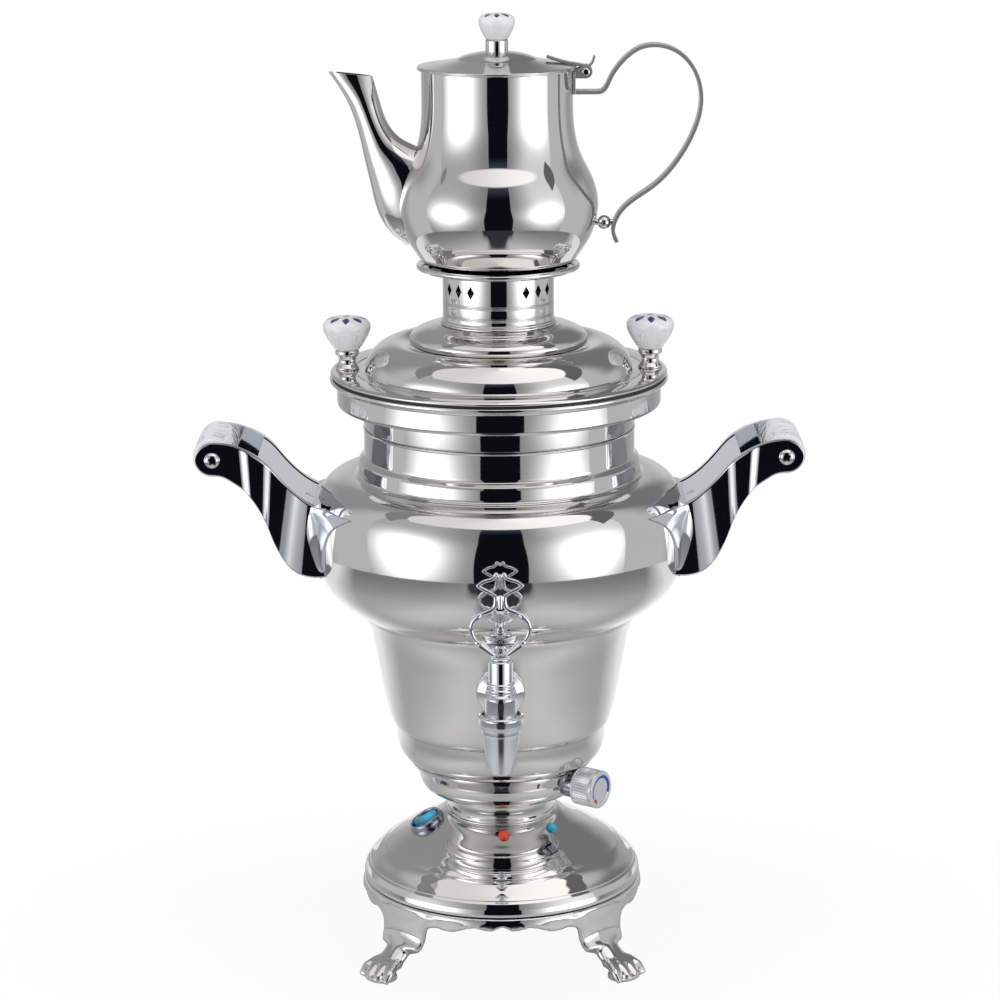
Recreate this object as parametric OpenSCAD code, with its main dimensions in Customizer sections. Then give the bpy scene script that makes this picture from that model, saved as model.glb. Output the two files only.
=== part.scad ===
// Electric samovar with a lift-off lid, a steam stand and a teapot on top.
// Millimetres. +Z is up, -Y is the tap side, and the origin lies on the samovar's
// axis in the plane of the claw feet.

/* [Base] */
// Height of the cast foot ring, from the floor to the seam under the dome
foot_h = 44; // [36:1:56]
// Outer radius of the foot ring and the dome
base_r = 88; // [80:1:96]
// Depth of the skirt below the seam, at the middle of each side
skirt_h = 6; // [5:1:9]
// Wall of the cast foot ring
cast_t = 3.5; // [3:0.5:5]
// Distance from the axis to the middle of each claw
claw_reach = 106; // [98:1:114]
// Width of each claw over its toes
claw_w = 25; // [20:1:30]
// Height of the spun dome
dome_h = 41; // [34:1:50]
// Radius of the flat on top of the dome
dome_top_r = 36; // [34:0.5:42]
// Sheet thickness of the spun shells
sheet_t = 1; // [0.8:0.1:1.6]

/* [Neck and bowl] */
// Radius of the neck
neck_r = 33.3; // [28:0.5:34]
// Height of the neck
neck_h = 13; // [10:1:24]
// Radius of the bowl where it turns up
bowl_r = 52; // [46:1:58]
// Height of the bowl
bowl_h = 24; // [22:1:34]
// Radius of the lower band
band_r = 65.8; // [62:0.5:72]
// Height of the lower band
band_h = 22; // [16:1:34]

/* [Tank] */
// Height of the tapered vase that the tap is on
vase_h = 74.5; // [64:1:100]
// Radius of the crease between vase and belly
crease_r = 86.4; // [82:0.5:92]
// Largest radius of the belly
belly_r = 115.5; // [108:1:126]
// Height of the belly's largest radius above the crease
belly_low_h = 51.5; // [44:1:64]
// Height of the shoulder above the largest radius
belly_up_h = 67; // [58:1:84]
// Radius of the throat below the rim band
throat_r = 84; // [78:1:90]
// Height of the throat
throat_h = 14; // [10:1:22]
// Radius of the rim band
rim_r = 100.2; // [96:1:110]
// Height of the rim band with its lip
rim_h = 19; // [14:1:28]
// How far the lip stands out from the rim band
lip_out = 4.3; // [3:0.1:6]
// Thickness of the flat tank floor
floor_t = 1.2; // [1:0.1:2]

/* [Lid] */
// How far the edge of the lid stays inside the lip
lid_inset = 0.5; // [0:0.1:2]
// Width of the lid's flat edge, around its raised part
lid_flat_w = 21.5; // [20:0.5:26]
// Height of the lid above the lip, at the seat of the crown
lid_h = 11; // [9:0.5:16]
// Height of the bulge above the seat of the crown
lid_bulge_h = 9.5; // [6:0.5:14]
// Largest radius of the crown
crown_r = 55; // [48:1:60]
// Height of the crown
crown_h = 20; // [16:1:28]
// Radius of the steam hole through lid and crown
steam_r = 30; // [26:0.5:31]
// Distance from the edge of the lid to the middle of each lid knob
lid_knob_in = 10.5; // [9.5:0.5:12]
// Radius of a lid knob's ferrule at its foot and under the knob
ferrule_r = 7.4; // [6.6:0.1:8]
// Height of a lid knob's ferrule
ferrule_h = 12.4; // [10:0.2:18]
// Height of a porcelain lid knob
knob_h = 20.5; // [16:0.5:26]
// Largest radius of a porcelain lid knob
knob_r = 14.7; // [12:0.1:17]

/* [Steam stand] */
// Radius of the perforated collar
collar_r = 34.2; // [33:0.1:37]
// Height of the perforated collar
collar_h = 32; // [26:1:42]
// Width of each diamond hole
diamond_w = 5.2; // [3:0.1:7]
// Height of each diamond hole
diamond_h = 8.4; // [5:0.1:11]
// Angle between the diamond holes of a group
diamond_step = 15.5; // [13:0.5:20]
// Diamond holes in each of the four groups
diamonds = 3; // [1:1:4]
// Outer radius of the teapot tray
tray_r = 50.3; // [49:0.1:56]

/* [Teapot] */
// Height of the teapot without its lid
pot_h = 122; // [112:1:140]
// Radius of the teapot's mouth
pot_mouth_r = 46; // [44:0.5:50]
// Largest radius of the teapot's belly
pot_r = 61.3; // [56:0.5:66]
// Radius of the teapot's flat base
pot_base_r = 37; // [34:0.5:38]
// Sheet thickness of the teapot
pot_t = 0.8; // [0.7:0.1:1.2]
// Rise of the teapot lid from its brim to its top
pot_lid_h = 11; // [8:0.5:16]
// How far the brim of the teapot lid stands out from the mouth
pot_brim = 2.5; // [2:0.1:3]
// Height of the teapot lid's porcelain knob
pot_knob_h = 15.5; // [12:0.5:20]
// Largest radius of the teapot lid's porcelain knob
pot_knob_r = 11.1; // [8:0.1:14]
// Distance from the axis to the spout's tip
spout_reach = 102; // [96:1:110]
// Width of the handle strap
strap_w = 11; // [8:0.5:14]
// Thickness of the handle strap
strap_t = 2.4; // [2:0.1:3.2]
// Distance from the axis to the outside of the handle loop
strap_reach = 124.5; // [118:1:132]
// Radius of the teapot's hinge pin
pin_r = 1.6; // [1.2:0.1:1.8]

/* [Side handles] */
// Distance from the axis to the middle of each porcelain grip
grip_x = 176; // [168:1:188]
// Height of each grip above the belly's largest radius
grip_rise = 52; // [46:1:60]
// Radius of each porcelain grip
grip_r = 12.4; // [11:0.2:14]
// Length of each porcelain grip
grip_len = 54; // [48:1:62]
// Thickness of each handle arm
arm_t = 6; // [5:0.5:8]
// Radius of the round end of each handle arm
arm_end_r = 10.4; // [9:0.2:12]
// Thickness of the web between the arms
web_t = 4; // [3:0.5:6]
// Thickness of the root pad beside the arms
root_t = 8.5; // [7:0.5:11]
// Half width of the root pad at its flat top
root_w = 68; // [50:1:76]

/* [Tap] */
// Height of the tap's inlet above the bottom of the vase
tap_rise = 43; // [40:1:52]
// Distance from the samovar's axis to the tap's plug
tap_y = 133; // [130:1:142]
// Length of the nozzle below the valve body
nozzle_h = 37; // [34:1:46]
// Radius of the nozzle's outlet end
nozzle_end_r = 6.4; // [5.5:0.1:8]
// Radius of the nozzle's collar
nozzle_top_r = 13.6; // [11:0.1:16]
// Radius of the valve body
valve_r = 9.6; // [9:0.1:11]
// Height of the valve body with its barrel
valve_h = 34.5; // [30:0.5:40]
// Radius of the plug that turns in the tap
plug_r = 5.4; // [4.6:0.1:5.8]
// Half width of the key's loop
key_w = 17; // [14:0.5:18]
// Height of the key above the barrel
key_h = 50; // [44:1:58]
// Half thickness of the bars of the key
key_t = 1.9; // [1.5:0.1:2.4]

/* [Controls] */
// Direction of the thermostat knob, counted from the right hand side
dial_angle = -35.4; // [-45:0.1:-25]
// Height of the thermostat knob above the bottom of the bowl
dial_rise = 14; // [13:0.5:16]
// Radius of the thermostat knob
dial_r = 12; // [10:0.5:13]
// Depth of the thermostat knob
dial_d = 16.5; // [12:0.5:20]
// How far the back of the thermostat knob stands out from the bowl
dial_out = 8; // [6:0.5:14]
// Direction of the rocker switch, counted from the right hand side
switch_angle = 192; // [185:1:200]
// Distance from the axis to the rocker switch, along the dome
switch_at = 48; // [47:0.5:52]
// Outer radius of the switch bezel
bezel_r = 11.8; // [10:0.1:12]
// Directions of the two pilot lamps, counted from the right hand side
lamp_angles = [-88, -43.5];
// Distance from the axis to each pilot lamp, along the dome
lamp_at = 43.5; // [42:0.5:50]
// Radius of a pilot lamp's lens
lamp_r = 3.65; // [3:0.05:4.5]
// Radius of the hole through the cable gland
gland_r = 3.6; // [3:0.1:4]

/* [Fits] */
// Radial clearance of a shaft that turns
run_gap = 0.05; // [0.03:0.01:0.08]
// Clearance between parts that lift apart
lift_gap = 0.6; // [0.3:0.1:1]
// Clearance around fixed screws and bushes
fix_gap = 0.1; // [0.05:0.05:0.2]
// Gap between pieces that move past each other
move_gap = 0.35; // [0.3:0.05:0.6]

/* [Hidden] */

$fn = 96;
tiny = 0.01;

// Levels from the floor up
z_dome = foot_h + dome_h;
z_bowl = z_dome + neck_h;
z_band = z_bowl + bowl_h;
z_vase = z_band + band_h;
z_crease = z_vase + vase_h;
z_belly = z_crease + belly_low_h;
z_throat = z_belly + belly_up_h;
z_rim = z_throat + throat_h;
z_lip = z_rim + rim_h;
z_crown = z_lip + lid_h;
z_collar = z_crown + crown_h;
z_tray = z_collar + collar_h;
z_pot = z_tray + sheet_t;
z_mouth = z_pot + pot_h;

lip_r = rim_r + lip_out;
lid_r = lip_r - lid_inset;
lid_dome_r = lid_r - lid_flat_w;
lid_knob_x = lid_r - lid_knob_in;
bowl_top_r = bowl_r + (band_r - bowl_r) / 2;
z_grip = z_belly + grip_rise;
z_tap = z_vase + tap_rise;
z_dial = z_bowl + dial_rise;
dial_back = bowl_r + dial_out;

// ---------------------------------------------------------------- helpers

// A point of the smooth curve through p1 and p2, with its neighbours p0 and p3
function curve_point(p0, p1, p2, p3, t) =
    0.5 * (2 * p1 + (p2 - p0) * t + (2 * p0 - 5 * p1 + 4 * p2 - p3) * t * t
    + (3 * p1 - p0 - 3 * p2 + p3) * t * t * t);

// A smooth curve through the points p, with n steps from point to point
function smooth(p, n = 3) = concat(
    [for (i = [0 : len(p) - 2], k = [0 : n - 1])
        curve_point(p[max(i - 1, 0)], p[i], p[i + 1], p[min(i + 2, len(p) - 1)], k / n)],
    [p[len(p) - 1]]);

// Points given as shares of the way from (r0, z0) to (r1, z1)
function placed(r0, r1, z0, z1, p) =
    [for (q = p) [r0 + (r1 - r0) * q[0], z0 + (z1 - z0) * q[1]]];

function unit(v) = v / norm(v);

// Left hand normal of a path at its point i
function left_of(p, i) =
    let (d = unit(p[min(i + 1, len(p) - 1)] - p[max(i - 1, 0)])) [-d[1], d[0]];

function shifted(p, t) = [for (i = [0 : len(p) - 1]) p[i] + t * left_of(p, i)];
function reversed(p) = [for (i = [len(p) - 1 : -1 : 0]) p[i]];

// Closed outline of a sheet that has the path on its outside and t of thickness
function sheet(p, t) = concat(p, reversed(shifted(p, t)));

// Height of a profile at radius r
function height_at(p, r) = lookup(r, p);

// Radius of a profile at height z
function radius_at(p, z) = lookup(z, [for (q = p) [q[1], q[0]]]);

// A spun shell of thickness t inside the path p
module spun(p, t = sheet_t) {
    rotate_extrude() polygon(sheet(p, t));
}

// The solid inside the path p, down to the axis
module spun_solid(p) {
    rotate_extrude() polygon(concat([[0, p[0][1]]], p, [[0, p[len(p) - 1][1]]]));
}

// A turned solid at x, y that follows the path p
module turned(p, x = 0, y = 0) {
    translate([x, y, 0]) spun_solid(p);
}

// Rings of m points for a bar that follows a path in the XZ plane; a and b are its
// half sizes in the plane and across it, and y is where its middle runs
function bar_rings(p, a, b, m, y) = [for (i = [0 : len(p) - 1]) let (n = left_of(p, i))
    [for (k = [0 : m - 1]) let (w = 360 * k / m)
        [p[i][0] + n[0] * a[i] * cos(w), y[i] - b[i] * sin(w), p[i][1] + n[1] * a[i] * cos(w)]]];

// Skin over rings that all have the same number of points
module skin(rings) {
    m = len(rings[0]);
    last = len(rings) - 1;
    polyhedron(
        points = [for (ring = rings) for (q = ring) q],
        faces = concat(
            [[for (k = [0 : m - 1]) k]],
            [for (i = [0 : last - 1], k = [0 : m - 1])
                [i * m + k, (i + 1) * m + k, (i + 1) * m + (k + 1) % m]],
            [for (i = [0 : last - 1], k = [0 : m - 1])
                [i * m + k, (i + 1) * m + (k + 1) % m, i * m + (k + 1) % m]],
            [[for (k = [m - 1 : -1 : 0]) last * m + k]]),
        convexity = 6);
}

// A bar with rounded section along a path in the XZ plane
module bar(p, a, b, m = 10, y = undef) {
    middle = is_undef(y) ? [for (q = p) 0] : y;
    skin(bar_rings(p, a, b, m, middle));
}

// Lays a shape that stands on +Z along the direction at angle a, from radius r at height z
module outward(a, r, z) {
    rotate([0, 0, a]) translate([r, 0, z]) rotate([0, 90, 0]) children();
}

// ---------------------------------------------------------------- profiles

dome_path = concat(
    [[base_r - 8, foot_h]],
    smooth(placed(base_r, dome_top_r, foot_h, z_dome,
        [[0, 0], [0, 0.06], [0.02, 0.145], [0.073, 0.245]]), 2),
    smooth(placed(base_r, dome_top_r, foot_h, z_dome,
        [[0.085, 0.25], [0.144, 0.33], [0.213, 0.42], [0.25, 0.45]]), 2),
    smooth(placed(base_r, dome_top_r, foot_h, z_dome,
        [[0.262, 0.475], [0.333, 0.53], [0.46, 0.625], [0.5, 0.65]]), 2),
    smooth(placed(base_r, dome_top_r, foot_h, z_dome,
        [[0.52, 0.68], [0.673, 0.775], [0.813, 0.875], [0.923, 0.96], [1, 1]]), 2),
    [[neck_r - 4, z_dome]]);

neck_path = concat(
    [[neck_r + 2.2, z_dome], [neck_r + 2.2, z_dome + 0.8]],
    smooth(placed(neck_r + 2, neck_r, z_dome, z_bowl,
        [[0, 0.1], [0.45, 0.14], [0.55, 0.22], [0.95, 0.34], [1, 0.5]]), 2),
    [[neck_r, z_bowl]]);

bowl_path = concat(
    [[neck_r - 4, z_bowl]],
    smooth(placed(neck_r, bowl_r, z_bowl, z_band,
        [[0.1, 0], [0.46, 0.07], [0.76, 0.19], [0.92, 0.33], [1, 0.5], [1.03, 0.62]]), 2),
    smooth(placed(bowl_r, bowl_top_r, z_bowl, z_band,
        [[0.15, 0.66], [0.5, 0.79], [0.84, 0.9], [1, 0.95]]), 2),
    [[bowl_top_r, z_band]]);

band_path = concat(
    [[bowl_top_r, z_band]],
    smooth(placed(bowl_top_r, band_r, z_band, z_vase,
        [[0, 0.02], [0.43, 0.16], [0.75, 0.32], [0.93, 0.48], [1, 0.64]]), 2),
    [[band_r, z_vase]]);

vase_path = concat(
    [[band_r - 6, z_vase]],
    smooth(placed(band_r, crease_r, z_vase, z_crease,
        [[0.01, 0], [0.11, 0.04], [0.185, 0.086], [0.272, 0.175], [0.41, 0.355],
        [0.525, 0.53], [0.64, 0.71], [0.7, 0.8], [0.79, 0.89], [0.885, 0.94], [1, 0.99]]), 2),
    [[crease_r, z_crease]]);

belly_path = concat(
    [[crease_r, z_crease]],
    smooth(concat(
        placed(crease_r, belly_r, z_crease, z_belly,
            [[0.01, 0.005], [0.055, 0.025], [0.378, 0.153], [0.632, 0.28], [0.811, 0.408],
            [0.928, 0.573], [0.99, 0.806], [1, 1]]),
        placed(belly_r, throat_r, z_belly, z_throat,
            [[0.029, 0.224], [0.13, 0.424], [0.32, 0.537], [0.619, 0.652], [0.81, 0.709],
            [0.937, 0.761], [0.994, 0.836], [1.003, 0.91], [1, 0.99]])), 2),
    [[throat_r, z_throat]]);

rim_path = concat(
    [[throat_r, z_throat], [throat_r, z_rim - 2.5]],
    smooth([[throat_r + 0.6, z_rim - 0.8], [throat_r + 3, z_rim], [rim_r - 3, z_rim],
        [rim_r - 0.6, z_rim + 0.8], [rim_r, z_rim + 3]], 3),
    [[rim_r, z_lip - 5.5]],
    smooth([[rim_r + 0.6, z_lip - 4.2], [rim_r + 2.4, z_lip - 3.2], [lip_r, z_lip - 2.4]], 2),
    [[lip_r, z_lip]]);

lid_path = concat(
    [[lid_r, z_lip], [lid_r, z_lip + 1.4], [lid_r - 1.2, z_lip + 2.4],
    [lid_dome_r + 1.8, z_lip + 2.4]],
    smooth(placed(lid_dome_r, steam_r + 9, z_lip + 2.4, z_crown + lid_bulge_h,
        [[0, 0.04], [0.03, 0.36], [0.13, 0.7], [0.27, 0.92], [0.45, 1], [0.62, 0.84],
        [0.78, 0.6], [0.9, 0.5]]), 3),
    [[steam_r + 9.2, z_crown], [steam_r + 3.5, z_crown]]);

crown_path = concat(
    [[steam_r + 3.5, z_crown], [steam_r + 8.5, z_crown]],
    smooth(placed(steam_r + 9, crown_r, z_crown, z_collar,
        [[0, 0.04], [0.15, 0.18], [0.5, 0.28], [0.84, 0.36], [1, 0.52], [0.9, 0.7],
        [0.62, 0.83], [0.25, 0.91], [0, 0.955], [-0.1, 1]]), 2),
    [[steam_r, z_collar]]);

collar_path = concat(
    [[steam_r - lift_gap, z_collar - 6], [steam_r - lift_gap, z_collar]],
    [[collar_r + 1.6, z_collar], [collar_r + 1.8, z_collar + 1], [collar_r + 0.5, z_collar + 2.4],
    [collar_r, z_collar + 4]],
    [for (groove = [0.21, 0.44]) for (step = [[0, -0.7], [-0.45, 0], [0, 0.7]])
        [collar_r + step[0], z_collar + collar_h * groove + step[1]]],
    [[collar_r, z_tray]]);

tray_path = concat(
    [[steam_r + 1, z_tray], [pot_base_r + 3, z_tray]],
    smooth([[pot_base_r + 5, z_tray + 0.2], [tray_r - 6, z_tray + 1.2], [tray_r - 2.6, z_tray + 2.6]], 2));

pot_path = concat(
    [[0, z_pot], [pot_base_r, z_pot]],
    smooth(concat(
        placed(pot_base_r, pot_r, z_pot, z_mouth,
            [[0.08, 0.004], [0.21, 0.013], [0.39, 0.049], [0.53, 0.087], [0.683, 0.127],
            [0.807, 0.168], [0.9, 0.21], [0.98, 0.287], [1, 0.33]]),
        placed(pot_r, pot_mouth_r, z_pot, z_mouth,
            [[0.085, 0.41], [0.327, 0.49], [0.654, 0.57], [0.856, 0.648], [0.97, 0.72],
            [1, 0.79], [1, 0.9]])), 2),
    [[pot_mouth_r, z_mouth]]);

pot_brim_r = pot_mouth_r + pot_brim;
z_brim = z_mouth + 0.3;
z_pot_top = z_brim + pot_lid_h;
pot_lid_path = concat(
    [[pot_brim_r, z_brim], [pot_brim_r, z_brim + 1.6]],
    smooth(placed(pot_brim_r, 0, z_brim + 2, z_pot_top,
        [[0.03, 0.05], [0.2, 0.19], [0.38, 0.36], [0.5, 0.48]]), 2),
    smooth(placed(pot_brim_r, 0, z_brim + 2, z_pot_top,
        [[0.54, 0.56], [0.68, 0.84], [0.85, 0.97], [0.95, 1]]), 2),
    [[0, z_pot_top]]);

// Outline of a porcelain knob of radius r and height h on a neck of radius n
function knob_path(r, h, n, z) = concat(
    [[n, z]],
    smooth(placed(n, r, z, z + h,
        [[0, 0.02], [0.15, 0.16], [0.6, 0.36], [0.92, 0.52], [1, 0.64], [0.93, 0.76],
        [0.68, 0.87], [0.3, 0.955], [-0.35, 0.99]]), 2),
    [[0, z + h]]);

// ---------------------------------------------------------------- base

leg_angles = [45, 135, 225, 315];
ledge_t = 3;
z_ledge = foot_h - ledge_t;
ledge_r = base_r - 10;
skirt_steps = 96;

// Lower edge of the skirt at an angle from the middle of its side: a small peak, two
// shallow arches and the run down into the leg
function skirt_low(a) = foot_h - skirt_h - lookup(a,
    [[0, 0], [4, 2.6], [11, 1], [20, 4], [26, 3.4], [31, 6.5], [35, 12], [39, 17], [45, 19]]);
function from_side(a) = abs(((a + 45) % 90) - 45);

// The skirt with its scalloped lower edge
module skirt() {
    section = [for (i = [0 : skirt_steps - 1]) let (z = skirt_low(from_side(360 * i / skirt_steps)))
        [[base_r - cast_t, foot_h], [base_r, foot_h], [base_r, z], [base_r - cast_t, z]]];
    m = 4;
    polyhedron(
        points = [for (i = [0 : skirt_steps - 1]) let (a = 360 * i / skirt_steps)
            for (q = section[i]) [q[0] * cos(a), q[0] * sin(a), q[1]]],
        faces = [for (i = [0 : skirt_steps - 1], k = [0 : m - 1], half = [0, 1])
            let (j = (i + 1) % skirt_steps, l = (k + 1) % m)
            half == 0 ? [i * m + k, j * m + k, j * m + l] : [i * m + k, j * m + l, i * m + l]],
        convexity = 8);
}

// One leg, from the skirt down to the claw, along +X
module leg() {
    p = smooth([[base_r - 3.2, foot_h - 5], [base_r - 2.4, foot_h * 0.66], [base_r - 1, foot_h * 0.46],
        [base_r + 5, foot_h * 0.27], [claw_reach - 3, foot_h * 0.15]], 2);
    last = len(p) - 1;
    thick = [for (i = [0 : last]) 3.3 + 1.6 * i / last];
    wide = [for (i = [0 : last]) lookup(i / last, [[0, 25], [0.25, 19], [0.5, 11], [0.72, 8.5], [1, claw_w * 0.4]])];
    bar(p, thick, wide, 12);
}

// The four toes of one claw, along +X, flat on the floor
module claw() {
    toe_r = claw_w / 7;
    for (k = [-1.5 : 1 : 1.5]) hull() {
        translate([claw_reach - 8, k * toe_r * 1.2, toe_r + 3.5]) sphere(toe_r * 0.9, $fn = 8);
        translate([claw_reach + 5, k * toe_r * 1.9, toe_r + 1.6]) sphere(toe_r, $fn = 8);
        translate([claw_reach + 10, k * toe_r * 2.05, 0]) cylinder(r1 = toe_r * 0.8, r2 = toe_r, h = 2, $fn = 8);
        translate([claw_reach - 4, k * toe_r * 1.3, 0]) cylinder(r = toe_r * 0.7, h = 2, $fn = 8);
    }
}

// Cast foot ring: ledge, scalloped skirt and four legs with claws
module foot_ring() {
    color("lightsteelblue") {
        skirt();
        rotate_extrude() translate([ledge_r, z_ledge]) square([base_r - cast_t / 2 - ledge_r, ledge_t]);
        for (a = leg_angles) rotate([0, 0, a]) {
            leg();
            claw();
        }
    }
}

plate_t = 1.2;
plate_r = base_r - cast_t - 2;
rod_r = 4;
module base_plate() {
    color("silver") translate([0, 0, z_ledge - plate_t]) difference() {
        cylinder(r = plate_r, h = plate_t);
        translate([0, 0, -tiny]) cylinder(r = rod_r + fix_gap, h = plate_t + 2 * tiny);
        for (a = [0 : 60 : 300]) rotate([0, 0, a]) translate([plate_r * 0.6, 0, -tiny])
            cylinder(r = 3, h = plate_t + 2 * tiny);
    }
}

// Places children on the dome at radius r and angle a, with +Z along its normal
module on_dome(r, a) {
    tilt = atan((height_at(dome_path, r - 2) - height_at(dome_path, r + 2)) / 4);
    rotate([0, 0, a]) translate([r, 0, height_at(dome_path, r)]) rotate([0, tilt, 0]) children();
}

lamp_stem_r = lamp_r - 0.8;
switch_body_r = bezel_r - 1.8;
gland_z = foot_h + 9;
gland_out_r = gland_r + 2.6;
module base_dome() {
    color("silver") difference() {
        spun(dome_path);
        on_dome(switch_at, switch_angle) translate([0, 0, -6]) cylinder(r = switch_body_r + fix_gap, h = 12);
        for (a = lamp_angles) on_dome(lamp_at, a)
            translate([0, 0, -5]) cylinder(r = lamp_stem_r + fix_gap, h = 10);
        outward(90, base_r - 14, gland_z) cylinder(r = gland_out_r + fix_gap, h = 20);
    }
}

module neck_tube() {
    color("silver") spun(neck_path);
}

// Bush in the back of the base that guides the power cable
module cable_gland() {
    inner = base_r - 12;
    color("dimgray") difference() {
        union() {
            outward(90, inner, gland_z) cylinder(r = gland_out_r, h = 14.5);
            difference() {
                outward(90, base_r - 6, gland_z) cylinder(r = gland_out_r + 2, h = 8.5);
                spun_solid(dome_path);
            }
        }
        outward(90, inner - 1, gland_z) cylinder(r = gland_r, h = 18);
    }
}

// ---------------------------------------------------------------- bowl and band

bush_r = 5;
module bowl_shell() {
    color("silver") difference() {
        spun(bowl_path);
        outward(dial_angle, bowl_r - 10, z_dial) cylinder(r = bush_r + fix_gap, h = 24);
    }
}

module lower_band() {
    color("silver") spun(band_path);
}

// ---------------------------------------------------------------- tank

shank_r = 6;
bolt_r = 2.5;
bolt_y = 22;
module vase_shell() {
    color("silver") difference() {
        spun(vase_path);
        outward(-90, band_r - 6, z_tap) cylinder(r = shank_r + fix_gap, h = 40);
    }
}

module handle_bolt_axes() {
    for (side = [0, 180], y = [-bolt_y, bolt_y])
        rotate([0, 0, side]) translate([0, y, z_belly]) rotate([0, 90, 0]) children();
}

module belly_shell() {
    color("silver") difference() {
        spun(belly_path);
        handle_bolt_axes() translate([0, 0, belly_r - 20]) cylinder(r = bolt_r + fix_gap, h = 30);
    }
}

module rim_band() {
    color("silver") {
        spun(rim_path);
        rotate_extrude() translate([rim_r - sheet_t, z_lip - sheet_t])
            square([lip_r - rim_r + sheet_t - tiny, sheet_t]);
    }
}

module tank_floor() {
    color("gray") translate([0, 0, z_vase + sheet_t])
        cylinder(r = band_r - sheet_t - fix_gap, h = floor_t);
}

// ---------------------------------------------------------------- inside the bowl and base

z_floor = z_vase + sheet_t;
nut_h = 6.5;
module tie_rod() {
    color("gray") translate([0, 0, z_ledge - plate_t - nut_h - 3])
        cylinder(r = rod_r, h = z_floor - z_ledge + plate_t + nut_h + 3);
}

module tie_nut() {
    color("gray") translate([0, 0, z_ledge - plate_t - nut_h]) difference() {
        union() {
            cylinder(r = 7.5, h = nut_h, $fn = 6);
            translate([0, 0, nut_h - 1.5]) cylinder(r = 9, h = 1.5);
        }
        translate([0, 0, -tiny]) cylinder(r = rod_r + fix_gap / 2, h = nut_h + 2 * tiny);
    }
}

heater_h = 6;
heater_r = band_r - 9;
module heating_element() {
    color("dimgray") translate([0, 0, z_floor - heater_h]) difference() {
        cylinder(r = heater_r, h = heater_h);
        translate([0, 0, -tiny]) cylinder(r = rod_r + fix_gap, h = heater_h + 2 * tiny);
    }
}

module heater_terminals() {
    color("goldenrod") for (y = [-20, 20]) translate([-3, y - 0.5, z_floor - heater_h - 9])
        cube([6, 1, 9]);
}

dial_shaft_r = 3;
can_d = 18;
can_back = bowl_r - 10 - can_d;
shaft_back = can_back + 5;
module thermostat_body() {
    color("dimgray") difference() {
        union() {
            outward(dial_angle, can_back, z_dial) cylinder(r = 10, h = can_d);
            outward(dial_angle, can_back + can_d - 0.5, z_dial)
                cylinder(r = bush_r, h = dial_back - 1 - can_back - can_d + 0.5);
        }
        outward(dial_angle, shaft_back - 1, z_dial) cylinder(r = dial_shaft_r + run_gap, h = dial_back - shaft_back + 1);
    }
}

module thermostat_collar() {
    color("dimgray") difference() {
        outward(dial_angle, bowl_r - 6, z_dial) cylinder(r = 8.6, h = dial_back - move_gap - bowl_r + 6);
        spun_solid(bowl_path);
        spun_solid(band_path);
        outward(dial_angle, bowl_r - 10, z_dial) cylinder(r = bush_r + fix_gap, h = dial_out + 20);
    }
}

// Shaft of the thermostat; it turns in the bush and carries the knob
module thermostat_shaft() {
    color("silver") outward(dial_angle, shaft_back, z_dial)
        cylinder(r = dial_shaft_r, h = dial_back + dial_d - 4 - shaft_back);
}

module thermostat_knob() {
    rim = 0.8;
    body = [[dial_r - rim, 0], [dial_r, rim], [dial_r, dial_d - 3.2], [dial_r - 0.5, dial_d - 2.8],
        [dial_r - 0.5, dial_d - 2.2], [dial_r, dial_d - 1.8], [dial_r, dial_d - rim], [dial_r - rim, dial_d],
        [dial_r - 3, dial_d], [dial_r - 3.6, dial_d - 0.5]];
    color("silver") difference() {
        outward(dial_angle, dial_back, z_dial) spun_solid(body);
        outward(dial_angle, dial_back - 1, z_dial) cylinder(r = dial_shaft_r, h = dial_d - 4 + 1);
        outward(dial_angle, dial_back - 1, z_dial) cylinder(r = bush_r + move_gap, h = 2.5);
    }
}

// ---------------------------------------------------------------- switch and lamps

bezel_h = 4.6;
rocker_r = bezel_r - 3.6;
rocker_tilt = 6;
rocker_bore_r = rocker_r + move_gap + bezel_h * sin(rocker_tilt);
pin_drop = 1;
rocker_pin_r = 1;
module switch_bezel() {
    color("slategray") difference() {
        on_dome(switch_at, switch_angle) difference() {
            union() {
                translate([0, 0, -14]) cylinder(r = switch_body_r, h = 14 + bezel_h - 1);
                spun_solid([[bezel_r, -2.5], [bezel_r, 1.6], [bezel_r - 0.8, bezel_h - 0.5], [bezel_r - 1.4, bezel_h]]);
            }
            translate([0, 0, -4]) cylinder(r = rocker_bore_r, h = 20);
            translate([0, 0, -pin_drop]) rotate([90, 0, 0])
                cylinder(r = rocker_pin_r + run_gap, h = 2 * rocker_bore_r + 1.4, center = true);
        }
        difference() {
            spun_solid(dome_path);
            on_dome(switch_at, switch_angle) translate([0, 0, -15]) cylinder(r = switch_body_r, h = 30);
        }
    }
}

// Round rocker with two pads, drawn tipped to its off side; it tilts on two small pins
module switch_rocker() {
    color("deepskyblue") on_dome(switch_at, switch_angle) translate([0, 0, -pin_drop]) rotate([0, -rocker_tilt, 0]) {
        intersection() {
            translate([0, 0, -10]) cylinder(r = rocker_r, h = 20);
            rotate([90, 0, 0]) cylinder(r = rocker_r, h = 40, center = true);
            for (tilt = [-rocker_tilt, rocker_tilt]) rotate([0, tilt, 0]) translate([0, 0, pin_drop - 2.2])
                translate([tilt < 0 ? -tiny : -20, -20, 0]) cube([20 + tiny, 40, bezel_h + 3.4]);
        }
        rotate([90, 0, 0]) cylinder(r = rocker_pin_r, h = 2 * rocker_bore_r + 1, center = true);
    }
}

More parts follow.
